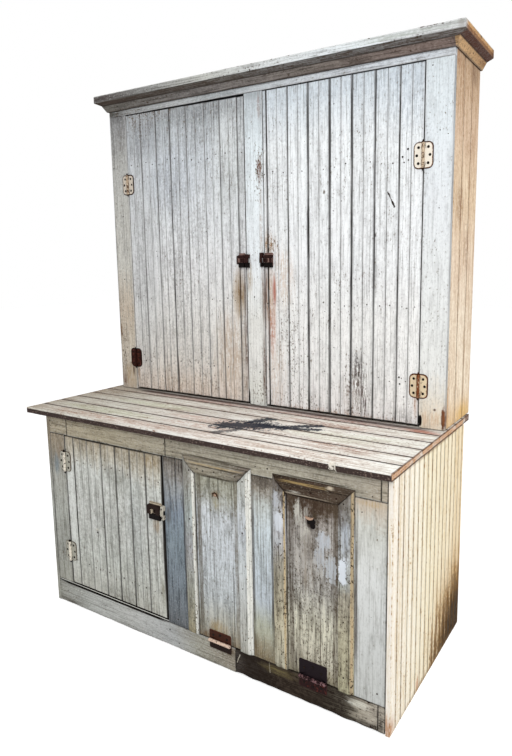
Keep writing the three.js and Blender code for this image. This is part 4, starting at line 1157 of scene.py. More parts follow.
def split_rail(name, joints, materials, wavy=None, last=0):
    """Rail of several boards end to end. Wavy lifts its worn lower edge. Last is how many boards
    at its right end have the second material."""
    low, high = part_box(name)
    ends = [low.x] + [x_at(x) for x in joints] + [high.x]
    skin = Skin()
    for index, (start, end) in enumerate(zip(ends, ends[1:])):
        left = Vector((start + 0.4 * MM, low.y, low.z))
        width, depth, length = high.z - low.z, high.y - low.y, end - start - 0.8 * MM

        def worn_edge(u, w):
            return (wavy(start + w) if u < width / 3 else 0), 0

        how = dict(bite=worn_edge, step=12 * MM) if wavy else {}
        paint = 1 if index >= len(joints) + 1 - last else 0
        outline = board_outline(width, depth)
        lay(skin, outline, left, (Z, Y, X), length, bow=1 * MM, ends=(1, 1), paint=paint, **how)
    dress(skin, name + "_boards", materials, (name,))


def worn_foot(x):
    """How far the bottom rail's lower edge has worn away at a place along it."""
    rot = 1 if x > x_at(BOTTOM_RAIL_JOINTS[0]) else 0.5
    wave = 0.5 + 0.5 * noise.noise(Vector((x * 6, 4, 2))) + 0.3 * noise.noise(Vector((x * 25, 8, 1)))
    return rot * FOOT_WEAR * max(0, wave)


def base_frame():
    split_rail("top_rail", TOP_RAIL_JOINTS, top_rail_paint)
    split_rail("bottom_rail", BOTTOM_RAIL_JOINTS, [foot_paint, rot_wood], wavy=worn_foot, last=2)
    paints = (base_left_stile_paint, door_stile_paint, bin_stile_paint, base_right_stile_paint)
    for name, paint in zip(("base_left_stile", "door_stile", "bin_stile", "base_right_stile"), paints):
        low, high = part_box(name)
        if name == "base_left_stile":
            low.z = (SILL_HIGH + 1) * MM
        skin = Skin()
        front_board(skin, low, high, "z", dirt_and_shade=0.7, ends=(1, 1))
        dress(skin, name + "_board", paint, (name,))
    case_side("base_left_side", -1, BASE_PLANK, [side_paint, base_left_stile_paint])
    case_side("base_right_side", 1, BASE_PLANK, [side_paint])


def sill_strip():
    """Thin strip under the low door, from the case's left edge to the door stile, and near-black pieces
    in the gaps over and under it that stand for painted shadow."""
    low = Vector((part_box("base_left_stile")[0].x, base_low.y + 1.5 * MM, SILL_LOW * MM))
    high = Vector((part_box("door_stile")[0].x - 0.5 * MM, base_low.y + 18 * MM, SILL_HIGH * MM))
    skin = Skin()
    front_board(skin, low, high, "x", radius=0.4 * MM, dirt_and_shade=0, grime_shade_level=0)
    dress(skin, "sill_strip", foot_paint, body="cupboard_case")
    # Near-black pieces set in the gaps over and under the strip: painted shadow
    skin = Skin()
    for foot, top in ((SILL_LOW - 3.2, SILL_LOW - 0.2), (SILL_HIGH + 0.2, SILL_HIGH + 3.8)):
        crack_low = Vector((low.x, base_low.y + 1 * MM, foot * MM))
        crack_high = Vector((high.x, base_low.y + 12 * MM, top * MM))
        front_board(skin, crack_low, crack_high, "x", radius=0.2 * MM, bow=0)
    dress(skin, "sill_gap_shadow", gap_shadow, body="cupboard_case")


# Worktop

TOP_JOINTS = (54, 134, 212, 293, 373, 453, 533, 613)
NOSE_RADIUS = 3 * MM
NOSE_LIGHT = 4.5 * MM
NOSE_DARK = 6.5 * MM
CHIP_AT = 530
CHIP_HALF = 11 * MM
CHIP_DEPTH = 10 * MM
NOSE_REACH = 25 * MM


def worktop():
    low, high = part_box("worktop")
    depth = high.z - low.z
    ways = (Y, -Z, X)
    skin = Skin()
    edges = [low.y] + [at(0, y, 0).y for y in TOP_JOINTS] + [high.y]
    chip = x_at(CHIP_AT) - low.x

    def chipped_nose(u, w):
        """The nosing wanders, and one chip is out of its front edge."""
        if u > NOSE_REACH:
            return 0, 0
        fade = 1 - u / NOSE_REACH
        wander = 2.2 * MM * (0.5 + 0.5 * noise.noise(Vector((w * 14, 3, 9))))
        near = max(0, 1 - ((w - chip) / CHIP_HALF) ** 4)
        return (wander + near * CHIP_DEPTH) * fade, 0

    for start, end in zip(edges, edges[1:]):
        origin = Vector((low.x, start, high.z))
        width = end - start
        if start == low.y:
            outline = section([
                (0, 0, NOSE_RADIUS, 0.3, 0.2),
                (width - 1.6 * MM, 0, ARRIS, 0.3, 0.9),
                (width, JOINT_DEPTH, 0, 0, 1),
                (width, depth, 0, 0, 1),
                (1.5 * MM, depth, 0, 0, 1),
                (0, depth - 1.5 * MM, 0, 0.1, 1),
                (0, NOSE_DARK, 0, 0, 0.95),
                (0, NOSE_LIGHT, 0, 0, 0.3),
            ], band=4 * MM)
            how = dict(bite=chipped_nose, step=7 * MM, ragged=(RAGGED, RAGGED))
        else:
            lip = dice.uniform(0.8, 1.6) * MM
            outline = plank_outline(width, depth, lip, plain=(False, end == high.y), foul_and_shade=0.8)
            how = dict(bow=0.9 * MM, ragged=(RAGGED, 2 * RAGGED))
        lay(skin, outline, origin, ways, high.x - low.x, ends=(0.3, 0), cap=(0, 0), **how)
    dress(skin, "worktop_boards", top_paint, ("worktop",))


# Upper case

UPPER_SIDE_PLANK = 86 * MM
STILE_WEAR = 4 * MM
STILE_WEAR_TOP = 830
STILE_REACH = 30 * MM


def upper_frame():
    def eaten_edge(u, w):
        """The centre stile's left edge is worn back near its foot."""
        low = max(0, 1 - w / ((STILE_WEAR_TOP - WORKTOP_TOP) * MM))
        return (STILE_WEAR * low * (1 - u / STILE_REACH) if u < STILE_REACH else 0), 0

    paints = (upper_left_stile_paint, centre_stile_paint, upper_right_stile_paint)
    for name, paint in zip(("upper_left_stile", "centre_stile", "upper_right_stile"), paints):
        skin = Skin()
        how = {} if name == "upper_left_stile" else dict(bite=eaten_edge)
        how.update(ragged=(RAGGED, 0), bow=1 * MM, step=20 * MM)
        front_board(skin, *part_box(name), "z", dirt_and_shade=0.2, side=0.5, **how)
        dress(skin, name + "_board", paint, (name,))
    skin = Skin()
    front_board(skin, *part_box("frieze_rail"), "x", ends=(0, 0))
    dress(skin, "frieze_board", frieze_paint, ("frieze_rail",))
    case_side("upper_left_side", -1, UPPER_SIDE_PLANK, [tan_board, upper_left_stile_paint])
    case_side("upper_right_side", 1, UPPER_SIDE_PLANK, [tan_board])


# Steps of the cornice and of the bed moulding: how far out, height in the whole, rounding, wear and painted
# highlight, dirt and painted shade
CORNICE_CORNERS = ((21, 1944, 1, 0.2, 0.4), (41, 1953, 1.5, 0.8, 0.1), (41, 1979, 2, 1, 0))
BED_CORNERS = ((6, 1920, 1, 0.8, 0.2), (20, 1943.5, 0.5, 0.3, 0.6))
CORNICE_INSIDE = 12
CROWN_BOARDS = 3
CROWN_THICKNESS = 20 * MM


def cornice():
    """Two mouldings carried round the left side, the front and the right side, and a top of boards."""
    low, high = node_box("frieze_rail", "upper_right_side", "upper_left_side")
    skin = Skin()
    for paint, (corners, inside) in enumerate(((CORNICE_CORNERS, -CORNICE_INSIDE), (BED_CORNERS, 0.3))):
        foot, top = corners[0][1], corners[-1][1]
        how = dict(bow=0, ends=(0, 0), grime_shade_level=0, paint=paint)
        loop = [(inside * MM, foot * MM, 0, 0, 1)]
        loop += [(out * MM, z * MM, radius * MM, wear_and_glint, dirt_and_shade) for out, z, radius, wear_and_glint, dirt_and_shade in corners]
        loop.append((inside * MM, top * MM, 0, 0, 0.5))
        outline = section(loop, band=3 * MM)
        width, depth = high.x - low.x, high.y - low.y
        corner = Vector((low.x, low.y, 0))
        far = Vector((high.x, low.y, 0))
        lay(skin, outline, corner, (-Y, Z, X), width, cut=lambda u: (-u, width + u), **how)
        lay(skin, outline, corner, (-X, Z, Y), depth, cut=lambda u: (-u, depth), **how)
        lay(skin, outline, far, (X, Z, Y), depth, cut=lambda u: (-u, depth), **how)
    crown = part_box("cornice")[1].z
    top_low = Vector((low.x + 1 * MM, low.y + 1 * MM, crown - CROWN_THICKNESS))
    size = Vector((high.x - 1 * MM, high.y, crown - 1.5 * MM)) - top_low
    for index in range(CROWN_BOARDS):
        origin = top_low + Y * size.y * index / CROWN_BOARDS + Z * size.z
        outline = plank_outline(size.y / CROWN_BOARDS, size.z, ARRIS)
        lay(skin, outline, origin, (Y, -Z, X), size.x)
    dress(skin, "cornice_mouldings", [cornice_finish, bed_finish], ("cornice",))
    skin = Skin()
    back_low = Vector((low.x + 1 * MM, high.y - 20 * MM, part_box("upper_back")[1].z + 0.3 * MM))
    front_board(skin, back_low, Vector((high.x - 1 * MM, high.y, top_low.z - 0.3 * MM)), "x", bow=0)
    dress(skin, "cornice_back_rail", bare_wood_across, body="cupboard_case")


# Doors

LEFT_DOOR_JOINTS = (-572, -492, -417, -334, -247, -174, -93)
RIGHT_DOOR_JOINTS = (35, 118, 201, 284, 366, 447, 530)
LOWER_DOOR_STRIP = 45 * MM
LOWER_DOOR_PLANKS = 6
NARROW_PLANK = 60 * MM
NAIL_CHANCE = 0.8
NAIL_ROWS = {
    "upper_left_door": (1700, 1166, 905),
    "upper_right_door": (1616, 1160, 921),
    "lower_door": (590, 186),
}


def door(name, edges, material, dropped=0):
    """Door of planks between edges. Dropped lowers each plank's top a little more than the last."""
    low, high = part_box(name + "_boards")
    size = high - low
    edges = [low.x] + list(edges) + [high.x]
    skin = Skin()
    for index, (start, end) in enumerate(zip(edges, edges[1:])):
        width = end - start
        plain = (index == 0, index == len(edges) - 2)
        beads = (0.5,) if width > NARROW_PLANK else ()
        back = dice.uniform(0, 0.5) * MM
        lip = dice.choice((0.9, 1.3, 1.7, 2.4)) * MM
        foul_and_shade, bead = dice.uniform(0.2, 0.9), dice.uniform(0.6, 1)
        outline = plank_outline(width, size.y - back, lip, beads, plain, foul_and_shade=foul_and_shade, bead=bead)
        origin = Vector((start, low.y + back, low.z))
        lay(skin, outline, origin, (X, Y, Z), size.z - dropped * index, ragged=(RAGGED, 0.8 * MM))
        for row in NAIL_ROWS[name]:
            for share in (0.25, 0.75) if beads else (0.5,):
                if dice.random() < NAIL_CHANCE:
                    x = start + width * share + dice.uniform(-5, 5) * MM
                    nail(name, Vector((x, low.y, (row + dice.uniform(-8, 8)) * MM)))
    dress(skin, name + "_planks", material, (name + "_boards",))


# Bins

PANEL_INSET = 47 * MM
MITRE_GAP = 0.2 * MM


def moulding(outer, inner, outer_band, inner_band):
    """Section of a moulding strip. Outer and inner set the rubbing mark on a band of each of its two steps,
    which chips them and lays a painted highlight on the steps that face right.
    """
    corners = [
        # The outer edge and the back are dark: soiling together with a painted shadow line in the gap
        # beside the stile
        (0, -0.3, 0.9),
        (0.6, -2.6, 0.1),
        (3, -4.0, 0),
        (7.6, -6.7, 0),
        (8.2, -6.5, 0.7),
        (9, -7.6, 0),
        (12.5, -9.6, 0),
        (15.5, -10.9, 0),
        (18, -11, 0.1),
        (38.5, -9.6, 0),
        (40, -9.5, 0),
        (43, -9.35, 0),
        (48.8, -9.05, 0),
        (49.4, -9, 0),
        (50.6, -8.2, 0.2),
        (51, -7.2, 0.6),
        (51, 1.5, 1),
        (18, 1.5, 1),
    ]
    marked = []
    for u, v, dirt_and_shade in corners:
        wear_and_glint = outer if outer_band[0] <= u <= outer_band[1] and v < 0 else 0
        wear_and_glint = inner if inner_band[0] <= u <= inner_band[1] and v < 0 else wear_and_glint
        marked.append((u * MM, v * MM, 0, wear_and_glint, dirt_and_shade))
    return section(marked)


# Bands of the two steps that carry the rubbing mark and the painted highlight, on bin 1 and on bin 2
WIDE_BANDS = ((0, 15.5), (40, 51))
NARROW_BANDS = ((3, 9.2), (43, 48.8))


def bin_front(name, materials, bands):
    """Panel with a moulding on three sides. Its materials are of the panel, the left leg, the right
    leg and the top."""
    low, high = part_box(name + "_front")
    face = base_low.y
    height, width = high.z - low.z, high.x - low.x
    skin = Skin()
    foot_left = Vector((low.x, face, low.z))
    foot_right = Vector((high.x, face, low.z))
    top_left = Vector((low.x, face, high.z))
    panel_low = Vector((low.x + PANEL_INSET, face, low.z))
    panel_high = Vector((high.x - PANEL_INSET, high.y, high.z - PANEL_INSET))
    front_board(skin, panel_low, panel_high, "z", bow=0.4 * MM, ragged=(RAGGED, 0), ends=(0.6, 0))
    upright = dict(cut=lambda u: (0, height - u - MITRE_GAP), ragged=(RAGGED, 0), ends=(0.6, 1))
    lay(skin, moulding(0, 1, *bands), foot_left, (X, Y, Z), height, paint=1, **upright)
    lay(skin, moulding(1, 0, *bands), foot_right, (-X, Y, Z), height, paint=2, **upright)
    mitred = dict(cut=lambda u: (u + MITRE_GAP, width - u - MITRE_GAP), ends=(1, 1))
    lay(skin, moulding(0, 0, *bands), top_left, (-Z, Y, X), width, paint=3, **mitred)
    back_low = Vector((low.x + 15 * MM, face + 8 * MM, low.z))
    back_high = Vector((high.x - 15 * MM, high.y, high.z - 18 * MM))
    front_board(skin, back_low, back_high, "z", bow=0)
    dress(skin, name + "_panel", materials, (name + "_front",))
    for x in (low.x + 30 * MM, high.x - 30 * MM):
        for share in (0.08, 0.36, 0.66, 0.93):
            nail(name, Vector((x + dice.uniform(-4, 4) * MM, face - 10 * MM, low.z + height * share)))
    for share in (0.25, 0.5, 0.8):
        nail(name, Vector((low.x + width * share, face - 10 * MM, high.z - 32 * MM)))


# Ironwork

# One skin of nails and screws for each body
fasteners = {}
BOLT_TRAVEL = 14 * MM
LEAF_THICKNESS = 2 * MM
KNUCKLES = 5


def nail(body, place, radius=2.3 * MM):
    """Small domed head standing just proud of a board."""
    skin = fasteners.setdefault(body, Skin())
    size = radius * dice.uniform(0.7, 1.15)
    turned(skin, place, -Y, [(-1 * MM, size), (0.25 * MM, size), (0.6 * MM, size * 0.6)], sides=8)


def inset(shape, distance):
    """Moves the edges of a shape that runs anticlockwise inwards."""
    moved = []
    for index, point in enumerate(shape):
        before = (point - shape[index - 1]).normalized()
        after = (shape[(index + 1) % len(shape)] - point).normalized()
        tangent = (before + after).normalized()
        moved.append(point + Vector((-tangent.y, tangent.x)) * distance)
    return moved


def rounded(left, right, foot, top, radii):
    """Anticlockwise outline. Its corners are rounded from the lower left one on."""
    shape = []
    for index, (x, z) in enumerate(((left, foot), (right, foot), (right, top), (left, top))):
        radius = max(radii[index] if isinstance(radii, (list, tuple)) else radii, 0.2 * MM)
        centre = Vector((x + (radius if x == left else -radius), z + (radius if z == foot else -radius)))
        for step in range(5):
            angle = math.pi * (1 + index / 2 + step / 8)
            shape.append(centre + Vector((math.cos(angle), math.sin(angle))) * radius)
    return shape


def plate(skin, shape, origin, ways, thickness, bevel=0.6 * MM, rim=2.6 * MM, wear_and_glint=(1, 0), dirt_and_shade=0.0):
    """Solid of a flat outline with bevelled front edges. Ways are across, up and out. Wear is that
    of its edge and of its face within the rim."""
    across, up, out = ways
    edge, face = wear_and_glint
    levels = [(0, 0, edge), (0, thickness - bevel, edge)]
    levels += [(bevel, thickness, edge), (rim, thickness, face)]
    rings = []
    for distance, height, _ in levels:
        corners = inset(shape, distance) if distance else shape
        rings.append([origin + across * p.x + up * p.y + out * height for p in corners])
    marks = [[(level[2], dirt_and_shade)] * len(shape) for level in levels]
    skin.add(rings, marks, 0.5, cap=(face, dirt_and_shade))


def screw(skin, place, radius=4.2 * MM, angle=0.0):
    """Screw head of two halves with the slot between them, over a dark seat."""
    seat = [(-0.5 * MM, radius), (0.25 * MM, radius * 1.06), (0.3 * MM, radius * 0.9)]
    turned(skin, place, -Y, seat, sides=12, marks=[(0, 1)] * 12)
    for half_turn in (0, math.pi):
        half = []
        for step in range(7):
            turn = angle + half_turn + math.pi * (0.07 + 0.86 * step / 6)
            half.append(Vector((math.cos(turn), math.sin(turn))) * radius * 0.86)
        plate(skin, half, place, (X, Z, -Y), 0.9 * MM, bevel=0.3 * MM, rim=0.6 * MM, wear_and_glint=(0.4, 0.2))


def hinge_leaf(node, other, materials, upright=True, corner=14, first=0, pin=False, soil_and_shadow_rim=0.0):
    """One leaf of a hinge with every second knuckle, counted from the first. The upright leaf with the
    pin has the pointed tips. Its materials are of the leaf and the knuckles, the corner is the rounding
    of its two free corners in millimetres, and the dark rim is how far a painted shadow together with
    soiling shows round it."""
    low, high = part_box(node)
    other_low, other_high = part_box(other)
    run, side = (2, 0) if upright else (0, 2)
    pin_low, pin_high = max(low[side], other_low[side]), min(high[side], other_high[side])
    middle, radius = (pin_low + pin_high) / 2, (pin_high - pin_low) / 2
    pin_y = min(low.y, other_low.y) + radius
    start, end = max(low[run], other_low[run]), min(high[run], other_high[run])
    way = 1 if high[side] - middle > middle - low[side] else -1
    reach = high[side] - middle if way > 0 else middle - low[side]
    along = Z if upright else X
    away = (X if upright else Z) * way
    origin = Vector((middle, high.y, start)) if upright else Vector((start, high.y, middle))
    length = end - start
    skin = Skin()
    leaf = rounded(radius * 0.4, reach, 0, length, (0, corner * MM, corner * MM, 0))
    ways = (away, along, -Y)
    plate(skin, leaf, origin, ways, LEAF_THICKNESS, rim=2.8 * MM)
    # Dark plate just larger than the leaf: painted shadow round it together with soiling
    if soil_and_shadow_rim:
        dark = inset(leaf, -soil_and_shadow_rim)
        plate(skin, dark, origin, ways, 0.5 * MM, bevel=0.2 * MM, rim=0.4 * MM, dirt_and_shade=1)
    pitch = length / KNUCKLES
    centre = Vector(origin)
    centre.y = pin_y
    steps = ((0, 0.8), (0.05, 0.98), (0.16, 1), (0.84, 1), (0.95, 0.98), (1, 0.8))
    for index in range(first, KNUCKLES, 2):
        foot = centre + along * (index * pitch + 0.2 * MM)
        profile = [((pitch - 0.4 * MM) * share, radius * size) for share, size in steps]
        marks = [[(0.9 if share in (0, 1) else 0.62, 0)] * 14 for share, _ in steps]
        turned(skin, foot, along, profile, sides=14, marks=marks, paint=len(materials) - 1)
    if pin and upright:
        for tip, turn in ((centre + along * length, along), (centre, -along)):
            shape = [(0, 0.5), (0.4 * MM, 0.86), (1.6 * MM, 0.9), (3.4 * MM, 0.62), (8.6 * MM, 0.12)]
            profile = [(step, radius * size) for step, size in shape]
            turned(skin, tip, turn, profile, marks=[(1, 0.75)] * 14, paint=len(materials) - 1)
    dress(skin, node + "_iron", materials, (node,))
    body = frame["nodes"][node]["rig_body"]
    screws = fasteners.setdefault(body, Skin())
    for share, up in ((0.53, 0.19), (0.71, 0.5), (0.53, 0.81)):
        place = origin + away * reach * share + along * length * up - Y * LEAF_THICKNESS
        screw(screws, place, angle=dice.uniform(0, math.pi))


def door_hinge(name, *materials, soil_and_shadow_rim=2.2 * MM):
    frame_leaf, door_leaf = name + "_frame_leaf", name + "_door_leaf"
    hinge_leaf(frame_leaf, door_leaf, list(materials), pin=True, soil_and_shadow_rim=soil_and_shadow_rim)
    hinge_leaf(door_leaf, frame_leaf, list(materials), first=1, soil_and_shadow_rim=soil_and_shadow_rim)


def hollow_block(skin, left, right, foot, top, near, back, channel, slot=None, black=1.0):
    """Block with a channel through it for a bolt. Slot is an opening in its front, and black is how
    dark its lower half is painted, a painted shadow under its top."""
    bevel = 2 * MM
    ways = (X, Z, -Y)
    channel_foot, channel_top = channel
    origin = Vector((0, back, 0))
    depth = back - near
    high_shape = rounded(left, right, channel_top, top, bevel)
    how = dict(bevel=bevel, rim=bevel * 1.4)
    plate(skin, high_shape, origin, ways, depth, wear_and_glint=(0.45, 0), **how)
    # Lower half, set back and painted dark: painted shadow under the top
    low_shape = rounded(left + bevel / 2, right - bevel / 2, foot, channel_foot, bevel)
    plate(skin, low_shape, origin, ways, depth * 0.8, wear_and_glint=(0, 0), dirt_and_shade=black, **how)
    strap = Vector((0, near + 2 * MM, 0))
    gap = slot or ((left + right) / 2,) * 2
    for start, end in ((left, gap[0]), (gap[1], right)):
        if end - start > 2.5 * MM:
            shape = rounded(start, end, channel_foot - 1 * MM, channel_top + 1 * MM, 0.4 * MM)
            plate(skin, shape, strap, ways, 2 * MM, rim=1 * MM, wear_and_glint=(0.3, 0))


def latch(door_name, way, keeper, keeper_material, metal=latch_iron):
    """Rim latch on a door edge, its bolt and its keeper on the stile. Way is 1 with the stile on the
    right. The keeper's left, right, foot and top are in millimetres."""
    low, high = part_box(door_name + "_latch_case")
    bolt_low, bolt_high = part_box(door_name + "_latch_bolt")
    middle = (low.z + high.z) / 2
    half = (bolt_high.z - bolt_low.z) / 2
    channel = (middle - half - 0.5 * MM, middle + half + 0.5 * MM)
    length = bolt_high.x - bolt_low.x
    half_travel = (length + BOLT_TRAVEL) / 2
    stub = bolt_high.x - half_travel if way > 0 else bolt_low.x + half_travel
    slot = (stub - 4.5 * MM, stub + 18.5 * MM) if way > 0 else (stub - 18.5 * MM, stub + 4.5 * MM)
    ways = (X, Z, -Y)
    seat = Vector((0, high.y, 0))
    skin = Skin()
    left, right = (low.x + 9 * MM, high.x) if way > 0 else (low.x, high.x)
    plate(skin, rounded(left - 1 * MM, right, low.z + 4 * MM, high.z, 2 * MM), seat, ways, 2.2 * MM)
    ridge = rounded(left + 1 * MM, right - 1 * MM, high.z - 9 * MM, high.z - 3 * MM, 1 * MM)
    plate(skin, ridge, seat, ways, 5 * MM, bevel=2 * MM, rim=2.4 * MM, wear_and_glint=(1, 1))
    hollow_block(skin, left, right, low.z, high.z - 7 * MM, low.y, high.y, channel, slot)
    if way > 0:
        lug = rounded(low.x, low.x + 11 * MM, middle - 14 * MM, middle + 17 * MM, 4 * MM)
        plate(skin, lug, seat, ways, 11 * MM, bevel=3 * MM, rim=3.6 * MM, wear_and_glint=(0.3, 0), dirt_and_shade=0.3)
    dress(skin, door_name + "_latch_case_iron", metal, (door_name + "_latch_case",))
    bolt = Skin()
    back = Vector((0, bolt_high.y, 0))
    bar = rounded(bolt_low.x, bolt_high.x, bolt_low.z, bolt_high.z, 0.6 * MM)
    plate(bolt, bar, back, ways, 5 * MM, rim=1.4 * MM)
    knob = rounded(stub - 3 * MM, stub + 3 * MM, middle - half * 0.9, middle + half * 0.9, 1.5 * MM)
    plate(bolt, knob, back, ways, bolt_high.y - bolt_low.y, bevel=1.2 * MM, rim=1.6 * MM)
    dress(bolt, door_name + "_latch_bolt_iron", metal, (door_name + "_latch_bolt",))
    keeper_left, keeper_right = x_at(keeper[0]), x_at(keeper[1])
    foot, top = keeper[2] * MM, keeper[3] * MM
    face = low.y + 1 * MM
    painted_keeper = keeper_material is not latch_iron
    piece = Skin()
    # How dark the keeper's lower half is painted, as painted shadow
    black = 0.2 if painted_keeper else 1.0
    hollow_block(piece, keeper_left, keeper_right, foot, top, face, high.y, channel, black=black)
    dress(piece, door_name + "_keeper", keeper_material, body="cupboard_case")
    screws = fasteners.setdefault("cupboard_case", Skin())
    if painted_keeper:
        for z in (foot + 9 * MM, top - 9 * MM):
            place = Vector(((keeper_left + keeper_right) / 2, face + 0.1 * MM, z))
            screw(screws, place, radius=2.6 * MM, angle=0.6)


def bin_hinge(name, material, low_material, barrel):
    rail_leaf, bin_leaf = name + "_hinge_rail_leaf", name + "_hinge_bin_leaf"
    hinge_leaf(rail_leaf, bin_leaf, [low_material, barrel], upright=False, corner=4, pin=True)
    hinge_leaf(bin_leaf, rail_leaf, [material, barrel], upright=False, corner=5, first=1)


def wire(skin, points, radii):
    """Bent rod through some points, with its radius at each."""
    rings = []
    for index, point in enumerate(points):
        before, after = points[max(index - 1, 0)], points[min(index + 1, len(points) - 1)]
        rings.append(circle(point, (after - before).normalized(), radii[index], 8))
    skin.add(rings, [(0.5, 0.3)] * 8, 0.5)


def ragged_patch(skin, x, z, half_width, half_height, thickness, dirt_and_shade=1.0, rough=0.5):
    """Thin piece with a broken outline on the front of a bin."""
    shape = []
    for step in range(28):
        angle = step * 2 * math.pi / 28
        across, up = math.cos(angle), math.sin(angle)
        size = 1 - rough * (0.5 + 0.5 * noise.noise(Vector((across * 2.2, up * 2.2, x))))
        shape.append(Vector((across * half_width, up * half_height)) * size * MM)
    how = dict(bevel=0.3 * MM, rim=1 * MM, wear_and_glint=(0.2, 0), dirt_and_shade=dirt_and_shade)
    plate(skin, shape, at(x, 0, z), (X, Z, -Y), thickness * MM, **how)


def knob_remains():
    """Broken stumps where each bin once had a knob."""
    hole = Skin()
    ragged_patch(hole, 107, 590, 12, 10, 0.8, dirt_and_shade=0, rough=0.6)
    arc = [at(96, -2.5, 580), at(99, -4.5, 594), at(108, -5.5, 598), at(117, -5, 592), at(120, -3, 578)]
    wire(hole, arc, [1.2 * MM, 2 * MM, 2.4 * MM, 2 * MM, 1.2 * MM])
    dress(hole, "bin_1_knob_stump", stump_wood, body="bin_1")
    chip = Skin()
    ragged_patch(chip, 106, 588, 6, 5, 1.6, dirt_and_shade=0)
    dress(chip, "bin_1_knob_chip", chip_wood, body="bin_1")
    hole = Skin()
    ragged_patch(hole, 452, 578, 19, 14, 0.6)
    ragged_patch(hole, 458, 566, 12, 13, 0.9, rough=0.6)
    dress(hole, "bin_2_knob_stump", screw_iron, body="bin_2")
    crescent = Skin()
    shape = []
    for step in range(9):
        angle = math.pi * (1.06 + 0.88 * step / 8)
        shape.append(Vector((math.cos(angle) * 14, math.sin(angle) * 10)) * MM)
    for step in range(9):
        angle = math.pi * (1.9 - 0.8 * step / 8)
        shape.append(Vector((math.cos(angle) * 13, math.sin(angle) * 3 + 0.6)) * MM)
    centre = at(447, 0, 592)
    plate(crescent, shape, centre, (X, Z, -Y), 4 * MM, bevel=0.8 * MM, rim=1 * MM, wear_and_glint=(0.2, 0))
    dress(crescent, "bin_2_knob_chip", chip_wood, body="bin_2")


# Inside and back

def plain_piece(name, along, material):
    """Plain board standing for one node, with eased edges and its grain along X or Z."""
    low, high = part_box(name)
    size = high - low
    skin = Skin()
    if size.x < 30 * MM:
        lay(skin, board_outline(size.y, size.x), low, (Y, X, Z), size.z)
    elif along == "x":
        lay(skin, board_outline(size.y, size.z), low, (Y, Z, X), size.x)
    else:
        lay(skin, board_outline(size.x, size.y), low, (X, Y, Z), size.z)
    dress(skin, name + "_board", material, (name,))


BACK_PLANK = 190 * MM


def case_back(name, ragged, dropped=0.0):
    """Back of planks. Dropped is how far they hang past the node's foot."""
    low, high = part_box(name)
    low.z -= dropped
    size = high - low
    count = max(2, round(size.x / BACK_PLANK))
    skin = Skin()
    width = size.x / count
    for index in range(count):
        origin = Vector((low.x + width * index, high.y, low.z))
        lip = dice.uniform(0.8, 1.6) * MM
        outline = plank_outline(width, size.y, lip, plain=(index == 0, index == count - 1))
        lay(skin, outline, origin, (X, -Y, Z), size.z, ragged=(ragged, 0))
    dress(skin, name + "_planks", bare_wood, (name,))


# Nails away from the rows: the body they ride on, their face, their radius and their places
STRAY_NAILS = (
    ("upper_right_door", UPPER_FACE, 2.8, (
        (557, 1648), (540, 1626), (559, 1615), (545, 1609), (540, 931), (543, 909), (563, 919),
    )),
    ("upper_left_door", UPPER_FACE, 2.8, (
        (-594, 899), (-565, 898), (-604, 924),
    )),
    ("cupboard_case", UPPER_FACE, 2.3, (
        (-731, 1697), (657, 1693), (682, 1680), (-40, 1745), (-20, 1560), (-30, 1180), (660, 1466),
        (-700, 1240), (640, 1120), (630, 1880), (-690, 1500), (-10, 900),
    )),
    ("cupboard_case", 0, 2.3, (
        (-103, 722), (-104, 698), (-70, 734), (-66, 700), (-678, 726), (-676, 707), (261, 707),
        (304, 708), (-600, 700), (-640, 50), (-110, 60), (-70, 22), (672, 60), (640, 690),
        (-60, 640), (-70, 110), (610, 640), (660, 120),
    )),
)

base_frame()
sill_strip()
worktop()
upper_frame()
cornice()
left_door_edges = [x_at(x) for x in LEFT_DOOR_JOINTS]
right_door_edges = [x_at(x) for x in RIGHT_DOOR_JOINTS]
low_door_left, low_door_right = (corner.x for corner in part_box("lower_door_boards"))
low_door_plank = (low_door_right - low_door_left - LOWER_DOOR_STRIP) / LOWER_DOOR_PLANKS
low_door_start = low_door_left + LOWER_DOOR_STRIP
low_door_edges = [low_door_start + low_door_plank * index for index in range(LOWER_DOOR_PLANKS)]
door("upper_left_door", left_door_edges, upper_left_door_paint, dropped=0.7 * MM)
door("upper_right_door", right_door_edges, upper_right_door_paint)
door("lower_door", low_door_edges, lower_door_paint)
bin_front("bin_1", [bin_1_panel, bin_1_left, bin_1_right, bin_1_top], WIDE_BANDS)
bin_front("bin_2", [bin_2_panel, bin_2_left, bin_2_right, bin_2_top], NARROW_BANDS)

door_hinge("upper_right_door_top_hinge", white_iron, knuckle_iron)
door_hinge("upper_right_door_bottom_hinge", cream_iron)
door_hinge("upper_left_door_top_hinge", grey_iron, knuckle_iron)
door_hinge("upper_left_door_bottom_hinge", rust_iron)
door_hinge("lower_door_top_hinge", wall_iron, barrel_iron, soil_and_shadow_rim=0)
door_hinge("lower_door_bottom_hinge", wall_iron, barrel_iron, soil_and_shadow_rim=0)
latch("upper_left_door", 1, (-63.5, -46, 1287, 1336), latch_iron)
latch("upper_right_door", -1, (3, 15.5, 1290, 1341), latch_iron)
latch("lower_door", 1, (-120, -107, 459, 507), keeper_iron, metal=low_latch_iron)
bin_hinge("bin_1", bin_1_iron, bin_1_low_iron, bin_1_lit_barrel)
bin_hinge("bin_2", bin_2_iron, bin_2_low_iron, bin_2_lit_barrel)
knob_remains()

for body, face, radius, places in STRAY_NAILS:
    for x, z in places:
        nail(body, at(x, face, z), radius * MM)

